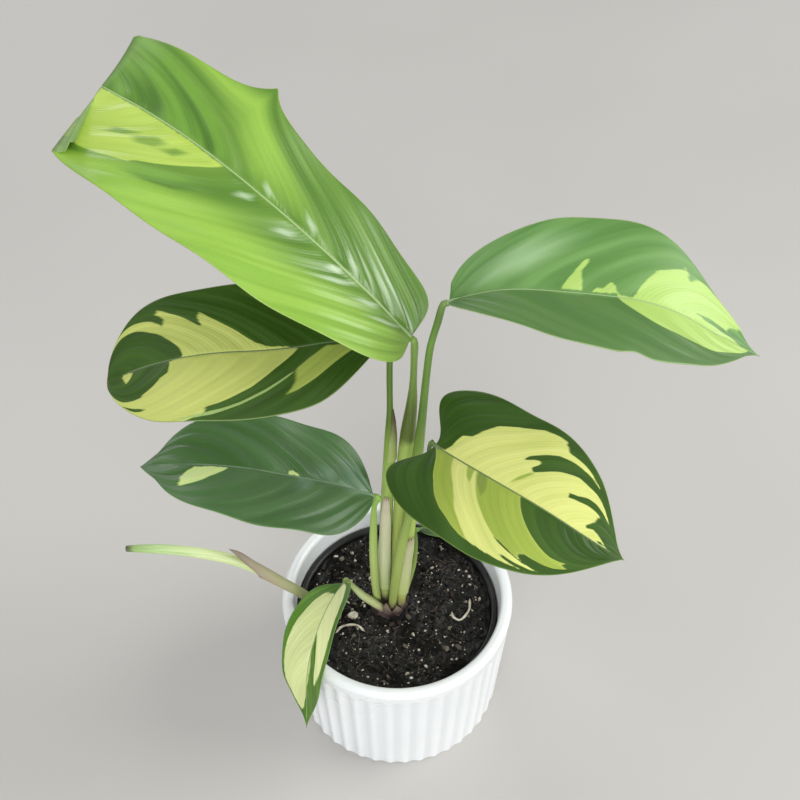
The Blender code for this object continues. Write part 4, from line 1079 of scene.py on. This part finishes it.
def soilRelief(x, y):
    # broad lumps and a low mound at the crown above soilTop, level at the edge, as in the solid
    lumps = np.sin(x / 7 + 1) * np.cos(y / 8) + 0.6 * np.sin((x + y) / 6 + 2)
    mound = 1.2 * np.exp(-((x - crown["x"]) ** 2 + (y - crown["y"]) ** 2) / 700)
    fade = np.clip((soilRadius - 1 - np.hypot(x, y)) / 8, 0, 1)
    return (0.5 * soilLump * lumps + mound) * fade


def soilHeight(x, y):
    # the solid's relief with crumbs of four sizes on it
    edge = np.clip((soilRadius + 0.6 - np.hypot(x, y)) / 3, 0.25, 1)
    crumbs = (1.2 * lattice(x, y, 7.0, 11) + 1.3 * np.abs(lattice(x, y, 3.6, 12))
              + 0.75 * lattice(x, y, 1.9, 13) + 0.35 * lattice(x, y, 1.0, 14))
    return soilTop + soilRelief(x, y) + crumbs * edge


def soilLook():
    # nearly black peat with brown fibres and a damp sheen in places; chips carry their own tone
    look, tree, shader = newLook("soil", Roughness=0.85, Specular_IOR_Level=0.35)
    place = objectPlace(tree)
    grain = noise(tree, place, 420.0, 5.0, 0.65)
    broad = noise(tree, place, 60.0, 3.0)
    colour = ramp(tree, grain, ((0.3, (0.0015, 0.0012, 0.001)), (0.56, (0.006, 0.005, 0.004)), (0.8, (0.050, 0.040, 0.031))))
    tone = attribute(tree, "tone")
    colour = blend(tree, spread(tree, tone, 0.45, 0.85, 0.0, 0.8), colour, (0.045, 0.030, 0.022))
    colour = blend(tree, spread(tree, tone, 0.90, 0.98), colour, (0.20, 0.175, 0.135))
    tree.links.new(colour, shader.inputs["Base Color"])
    tree.links.new(spread(tree, broad, 0.42, 0.62, 0.34, 0.95), shader.inputs["Roughness"])
    bump(tree, shader, grain, 0.9, 0.0008)
    return look


def scattered(count, seed, smallest, largest, flatness):
    # centres on the soil, sizes and turns for loose grains; more small ones than large
    random = np.random.default_rng(seed)
    radius = np.sqrt(random.uniform(0, 1, count)) * (soilRadius - 2.2)
    angle = random.uniform(0, math.tau, count)
    x, y = radius * np.cos(angle), radius * np.sin(angle)
    clear = np.hypot((x - crown["x"]) / (crown["radius"] + 1), (y - crown["y"]) / (crown["radius"] * crown["oval"] + 1)) > 1
    x, y = x[clear], y[clear]
    size = smallest + (largest - smallest) * random.uniform(0, 1, len(x)) ** 3
    stretch = np.stack([random.uniform(0.7, 1.6, len(x)), random.uniform(0.7, 1.1, len(x)),
                        random.uniform(flatness, 0.9, len(x))], axis=-1)
    return np.column_stack([x, y]), size, stretch, random


def grains(centres, size, stretch, random, sink):
    # an icosahedron for each centre, stretched, jittered, turned freely and sunk a little into the soil
    golden = (1 + 5 ** 0.5) / 2
    base = np.array([(-1, golden, 0), (1, golden, 0), (-1, -golden, 0), (1, -golden, 0), (0, -1, golden),
                     (0, 1, golden), (0, -1, -golden), (0, 1, -golden), (golden, 0, -1), (golden, 0, 1),
                     (-golden, 0, -1), (-golden, 0, 1)]) / math.hypot(1, golden)
    corners = np.array([(0, 11, 5), (0, 5, 1), (0, 1, 7), (0, 7, 10), (0, 10, 11), (1, 5, 9), (5, 11, 4),
                        (11, 10, 2), (10, 7, 6), (7, 1, 8), (3, 9, 4), (3, 4, 2), (3, 2, 6), (3, 6, 8),
                        (3, 8, 9), (4, 9, 5), (2, 4, 11), (6, 2, 10), (8, 6, 7), (9, 8, 1)])
    count = len(centres)
    shape = base[None] * stretch[:, None] * random.uniform(0.6, 1.3, (count, 12, 1)) * size[:, None, None]
    turn = random.uniform(0, math.tau, count)
    tilt = random.normal(0, 0.35, count)
    x = shape[..., 0] * np.cos(tilt)[:, None] + shape[..., 2] * np.sin(tilt)[:, None]
    z = shape[..., 2] * np.cos(tilt)[:, None] - shape[..., 0] * np.sin(tilt)[:, None]
    y = shape[..., 1]
    across = x * np.cos(turn)[:, None] - y * np.sin(turn)[:, None]
    away = x * np.sin(turn)[:, None] + y * np.cos(turn)[:, None]
    height = soilHeight(centres[:, 0], centres[:, 1]) + size * stretch[:, 2] * (1 - sink)
    points = np.stack([across + centres[:, :1], away + centres[:, 1:], z + height[:, None]], axis=-1)
    faces = corners[None] + 12 * np.arange(count)[:, None, None]
    return points.reshape(-1, 3), faces.reshape(-1, 3)


def soilFibres(count, seed):
    # fine curved fibres on the soil: each a triangular tube along a bowed line of eleven points
    random = np.random.default_rng(seed)
    radius = np.sqrt(random.uniform(0.05, 1, count)) * (soilRadius - 7)
    angle, turn = random.uniform(0, math.tau, count), random.uniform(0, math.tau, count)
    length, bow = random.uniform(4, 12, count), random.uniform(-2.5, 2.5, count)
    t = np.linspace(-0.5, 0.5, 11)[None, :]
    ahead, aside = length[:, None] * t, bow[:, None] * (1 - 4 * t * t)
    x = (radius * np.cos(angle))[:, None] + ahead * np.cos(turn)[:, None] - aside * np.sin(turn)[:, None]
    y = (radius * np.sin(angle))[:, None] + ahead * np.sin(turn)[:, None] + aside * np.cos(turn)[:, None]
    thick = random.uniform(0.10, 0.20, count)[:, None] * (1.15 - 2 * np.abs(t))
    z = soilHeight(x, y) + 0.15 + random.uniform(0.0, 0.8, count)[:, None] * (1 - 4 * t * t)
    side = np.array((90, 210, 330)) * math.pi / 180
    across = np.cos(side)[None, None, :] * thick[..., None]
    points = np.stack([x[..., None] - across * np.sin(turn)[:, None, None], y[..., None] + across * np.cos(turn)[:, None, None],
                       z[..., None] + np.sin(side)[None, None, :] * thick[..., None]], axis=-1)
    ring = gridQuads(11, 3, wrapped=True)
    quads = (ring[None] + 33 * np.arange(count)[:, None, None]).reshape(-1, 4).tolist()
    ends = np.array(((0, 2, 1), (30, 31, 32)))
    caps = (ends[None] + 33 * np.arange(count)[:, None, None]).reshape(-1, 3).tolist()
    return points.reshape(-1, 3), quads + caps


def soilBody():
    # round block whose top is a fine grid of rings with the crumbs on it, with loose chips of peat and bark
    rings, sides = 120, 330
    radius = np.linspace(0, soilRadius, rings + 1)[1:]
    turn = np.linspace(0, math.tau, sides, endpoint=False)
    x, y = radius[:, None] * np.cos(turn), radius[:, None] * np.sin(turn)
    top = np.stack([x, y, soilHeight(x, y)], axis=-1)
    low = pot["floor"] + 2 * gap + growPot["wall"]
    foot = growPot["footRadius"] - growPot["wall"] - gap - 0.3
    base = np.stack([foot * np.cos(turn), foot * np.sin(turn), np.full(sides, low)], axis=-1)[None]
    body = np.vstack([top, base]).reshape(-1, 3)
    rows = rings + 1
    points = np.vstack([body, [(0, 0, float(soilHeight(np.zeros(1), np.zeros(1))[0])), (0, 0, low)]])
    faces = gridQuads(rows, sides, wrapped=True)[:, ::-1].tolist()
    k = np.arange(sides)
    following = (k + 1) % sides
    end = (rows - 1) * sides
    faces += np.stack([k, following, np.full(sides, rows * sides)], axis=-1).tolist()
    faces += np.stack([end + following, end + k, np.full(sides, rows * sides + 1)], axis=-1).tolist()
    centres, size, stretch, random = scattered(1900, 5, 0.35, 1.9, 0.3)
    chipPoints, chipFaces = grains(centres, size, stretch, random, 0.35)
    smoothFaces = len(faces)
    faces += (chipFaces + len(points)).tolist()
    tone = random.uniform(0, 1, len(centres))
    fibrePoints, fibreFaces = soilFibres(150, 9)
    start = len(points) + len(chipPoints)
    faces += [[corner + start for corner in face] for face in fibreFaces]
    obj = surface("soil_bed", np.vstack([points, chipPoints, fibrePoints]), faces, soilLook(), smoothFaces)
    addAttribute(obj, "tone", np.concatenate([np.zeros(len(points)), np.repeat(tone, 12),
                                              np.full(len(fibrePoints), 1.0)]))
    declare(obj, "soil_dark", "soil")
    return obj


def crownLook():
    # purple-brown base of the stems, mottled, paler where a stem leaves it
    look, tree, shader = newLook("crown_brown", Roughness=0.6)
    place = objectPlace(tree)
    mottle = noise(tree, place, 160.0, 4.0, 0.6)
    colour = ramp(tree, mottle, ((0.35, (0.020, 0.011, 0.010)), (0.52, (0.060, 0.034, 0.034)), (0.7, (0.13, 0.085, 0.078))))
    colour = blend(tree, spread(tree, attribute(tree, "rise"), 0.25, 0.9, 0.0, 0.85), colour, (0.22, 0.17, 0.12))
    tree.links.new(colour, shader.inputs["Base Color"])
    bump(tree, shader, mottle, 0.6, 0.0006)
    return look


def stemCrown():
    # oval knob, its top swelling round each stem, with short pointed scales standing round it
    rings, sides = 46, 120
    turn = np.linspace(0, math.tau, sides, endpoint=False)[None, :]
    t = np.linspace(0, 1, rings)[1:, None]
    level = np.where(t < 0.7, 0.0, (t - 0.7) / 0.3)
    reach = np.where(t < 0.7, crown["radius"] * np.sin(0.5 * math.pi * t / 0.7), crown["radius"])
    x = crown["x"] + reach * np.cos(turn) * (1 + 0.05 * np.sin(7 * turn + 1))
    y = crown["y"] + crown["oval"] * reach * np.sin(turn) * (1 + 0.05 * np.sin(5 * turn))
    dome = crown["top"] - 5.5 * (reach / crown["radius"]) ** 2.5
    swell = 0
    for name in stems:
        sx, sy, _, radius = stems[name][0]
        swell = swell + 2.4 * np.exp(-((x - sx) ** 2 + (y - sy) ** 2) / (radius * 1.25) ** 2)
    z = np.where(t < 0.7, dome + swell + 0.35 * lattice(x, y, 2.2, 21) + 0.2 * lattice(x, y, 1.1, 22),
                 dome - level * (crown["depth"] - 5.5))
    points = np.stack([x, y, z], axis=-1).reshape(-1, 3)
    rows = rings - 1
    low = float(z[-1].min())
    points = np.vstack([points, [(crown["x"], crown["y"], crown["top"]), (crown["x"], crown["y"], low)]])
    rise = [np.where(t < 0.7, np.clip(swell / 2.4, 0, 1), 0).ravel() * 0.6, [0.0, 0.0]]
    faces = gridQuads(rows, sides, wrapped=True)[:, ::-1].tolist()
    k = np.arange(sides)
    following = (k + 1) % sides
    end = (rows - 1) * sides
    faces += np.stack([k, following, np.full(sides, rows * sides)], axis=-1).tolist()
    faces += np.stack([end + following, end + k, np.full(sides, rows * sides + 1)], axis=-1).tolist()
    total = [points]
    start = len(points)
    for angle, tall, wide, lean in ((205, 10, 6.0, 0.3), (252, 12, 6.5, 0.3), (300, 9, 6.0, 0.3), (345, 12, 6.5, 0.3),
                                    (30, 10, 6.0, 0.3), (85, 13, 6.5, 0.3), (145, 11, 6.0, 0.3)):
        scalePoints, scaleFaces, scaleRise = crownScale(math.radians(angle), tall, wide, lean)
        faces += [[corner + start for corner in face] for face in scaleFaces]
        total.append(scalePoints)
        rise.append(scaleRise)
        start += len(scalePoints)
    obj = surface("crown_knob", np.vstack(total), faces, crownLook())
    addAttribute(obj, "rise", np.concatenate(rise))
    declare(obj, "crown_brown", "crown")
    return obj


def crownScale(angle, tall, wide, lean):
    # pointed scale standing on the knob's shoulder: its half width falls to nothing at the top as
    # (1 - t^1.6), and it bends round the stems like part of a sleeve
    t, u = np.meshgrid(np.linspace(0, 1, 22), np.linspace(-1, 1, 15), indexing="ij")
    half = wide * (1 - t ** 1.6) + 0.25
    reach = crown["radius"] * 0.72 - lean * t - 1.2 * t ** 2 + 0.5 * np.sin(3 * t + 2 * u)
    side = angle + u * half / crown["radius"]
    height = crown["top"] - 3.2 + tall * t

    def shell(offset):
        r = reach + offset * (1 - 0.5 * u * u)
        return np.stack([crown["x"] + r * np.cos(side), crown["y"] + crown["oval"] * r * np.sin(side), height], axis=-1)

    points, faces = thinShell(shell(0.0), shell(0.7))
    return points, faces, np.concatenate([t.ravel(), t.ravel()]) ** 0.8


def paleLook():
    # perlite and roots: chalky off-white with soft brown stains and a pitted surface
    look, tree, shader = newLook("pale_bits", Roughness=0.75)
    place = objectPlace(tree)
    stain = noise(tree, place, 260.0, 4.0, 0.6)
    colour = ramp(tree, stain, ((0.35, (0.36, 0.30, 0.22)), (0.5, (0.62, 0.58, 0.46)), (0.68, (0.80, 0.78, 0.68))))
    tree.links.new(colour, shader.inputs["Base Color"])
    bump(tree, shader, stain, 0.7, 0.0005)
    return look


def perliteGrains(look):
    # the large grain by the leaf, a dented egg of points on a ball, and many small ones over the soil
    x, y, radius = -26, -7, 2.6
    rings, sides = 30, 44
    tip, turn = np.meshgrid(np.linspace(0, math.pi, rings + 2)[1:-1], np.linspace(0, math.tau, sides, endpoint=False),
                            indexing="ij")
    ball = np.stack([np.sin(tip) * np.cos(turn), np.sin(tip) * np.sin(turn), np.cos(tip)], axis=-1)
    dents = 1 + 0.12 * lattice(3 * ball[..., 0] + 9, 3 * ball[..., 1] + 2 * ball[..., 2], 1.0, 31)
    scale = radius * np.array((1.15, 0.9, 0.85))
    height = soilTop + soilRelief(x, y) + 0.8 * radius + gap
    points = (ball * dents[..., None] * scale + (x, y, height)).reshape(-1, 3)
    points = np.vstack([points, [(x, y, height + scale[2]), (x, y, height - scale[2])]])
    faces = gridQuads(rings, sides, wrapped=True)[:, ::-1].tolist()
    k = np.arange(sides)
    following = (k + 1) % sides
    end = (rings - 1) * sides
    faces += np.stack([k, following, np.full(sides, rings * sides)], axis=-1).tolist()
    faces += np.stack([end + following, end + k, np.full(sides, rings * sides + 1)], axis=-1).tolist()
    centres, size, stretch, random = scattered(330, 8, 0.3, 1.3, 0.5)
    grainPoints, grainFaces = grains(centres, size, stretch, random, 0.1)
    faces += (grainFaces + len(points)).tolist()
    obj = surface("perlite_grains", np.vstack([points, grainPoints]), faces, look)
    declare(obj, "pale_bits", "perlite_grain")


rootPlaces = {
    "root_bit_front": ((-36, -18), (-32, -14.5), (-24, -14), (-19, -18)),
    "root_bit_right": ((43, 5), (42, -4), (37, -10), (33, -8), (32, -4)),
}


def rootBit(name, look):
    # thin root arched a little over the soil, its thickness uneven along it
    places, radius = rootPlaces[name], 0.9
    stations = []
    for i, (x, y) in enumerate(places):
        archHeight = 1.0 * math.sin(math.pi * i / (len(places) - 1))
        stations.append((x, y, soilTop + soilRelief(x, y) + radius + gap + archHeight + 0.5, radius))
    count, sides = 70, 14
    route = spline(stations, count)
    t = np.linspace(0, 1, count)
    thick = radius * (0.62 + 0.2 * np.sin(9 * t) ** 2) * np.clip(np.minimum(t, 1 - t) / 0.06, 0.3, 1)
    points, faces = ringTube(route, np.repeat(thick[:, None], sides, axis=1), sides)
    obj = surface(name + "_curl", points, faces, look)
    declare(obj, "pale_bits", name)


# stage: floor, light and camera

def stage():
    look, tree, shader = newLook("floor", Roughness=0.8)
    soft = noise(tree, objectPlace(tree), 3.0, 2.0)
    colour = ramp(tree, soft, ((0.3, (0.50, 0.485, 0.46)), (0.7, (0.53, 0.515, 0.49))))
    tree.links.new(colour, shader.inputs["Base Color"])
    wide = 4000
    floor = surface("floor", [(-wide, -wide, 0), (wide, -wide, 0), (wide, wide, 0), (-wide, wide, 0)],
                    [(0, 1, 2, 3)], look)


def softLight(name, place, target, size, power, colour):
    # square area light at a place in metres, facing the target; its light stays within a 120 degree cone
    data = bpy.data.lights.new(name, "AREA")
    data.energy = power
    data.size = size
    data.spread = math.radians(120)
    data.color = colour
    lamp = bpy.data.objects.new(name, data)
    bpy.context.scene.collection.objects.link(lamp)
    away = np.array(target) - np.array(place)
    lamp.location = place
    lamp.rotation_euler = (math.acos(-away[2] / np.linalg.norm(away)), 0, math.atan2(away[1], away[0]) - math.pi / 2)


def lights():
    # a window high on the right, a wide fill from the front, a lamp overhead, a weaker one behind on the
    # left, and even room light
    softLight("window", (2.1, 0.2, 1.5), (0, 0, 0.2), 1.7, 20.0, (1.0, 0.995, 0.98))
    softLight("front", (-0.2, -2.4, 1.1), (0, 0, 0.1), 1.9, 22.0, (0.98, 0.99, 1.0))
    softLight("above", (-0.3, -0.4, 2.4), (0, 0, 0.2), 1.6, 3.0, (1.0, 1.0, 1.0))
    softLight("back", (-1.2, 2.0, 1.6), (0, 0, 0.2), 1.6, 9.0, (1.0, 1.0, 1.0))
    world = bpy.data.worlds.new("studio")
    bpy.context.scene.world = world
    world.use_nodes = True
    world.node_tree.nodes["Background"].inputs["Color"].default_value = (0.97, 0.985, 1.0, 1)
    world.node_tree.nodes["Background"].inputs["Strength"].default_value = 0.42


def camera():
    data = bpy.data.cameras.new("camera")
    data.lens = 54
    data.sensor_width = 36
    data.clip_end = 20
    obj = bpy.data.objects.new("camera", data)
    obj.location = (0.0015, -0.375, 0.695)
    obj.rotation_euler = (math.radians(41.1), 0, 0)
    bpy.context.scene.collection.objects.link(obj)
    bpy.context.scene.camera = obj
    bpy.context.scene.view_settings.view_transform = "Standard"


camera()
lights()
stage()
print("pots and soil")
ceramicPot()
blackGrowPot()
soilBody()
stemCrown()
paleBits = paleLook()
perliteGrains(paleBits)
for rootName in rootPlaces:
    rootBit(rootName, paleBits)
print("stems and membranes")
for stemName in stems:
    stem(stemName)
for membraneName in membranes:
    membrane(membraneName)
rolledLeaf()
rolledLeafSheath()
print("leaves")
for leafName in leafShapes:
    leafMesh(leafName)
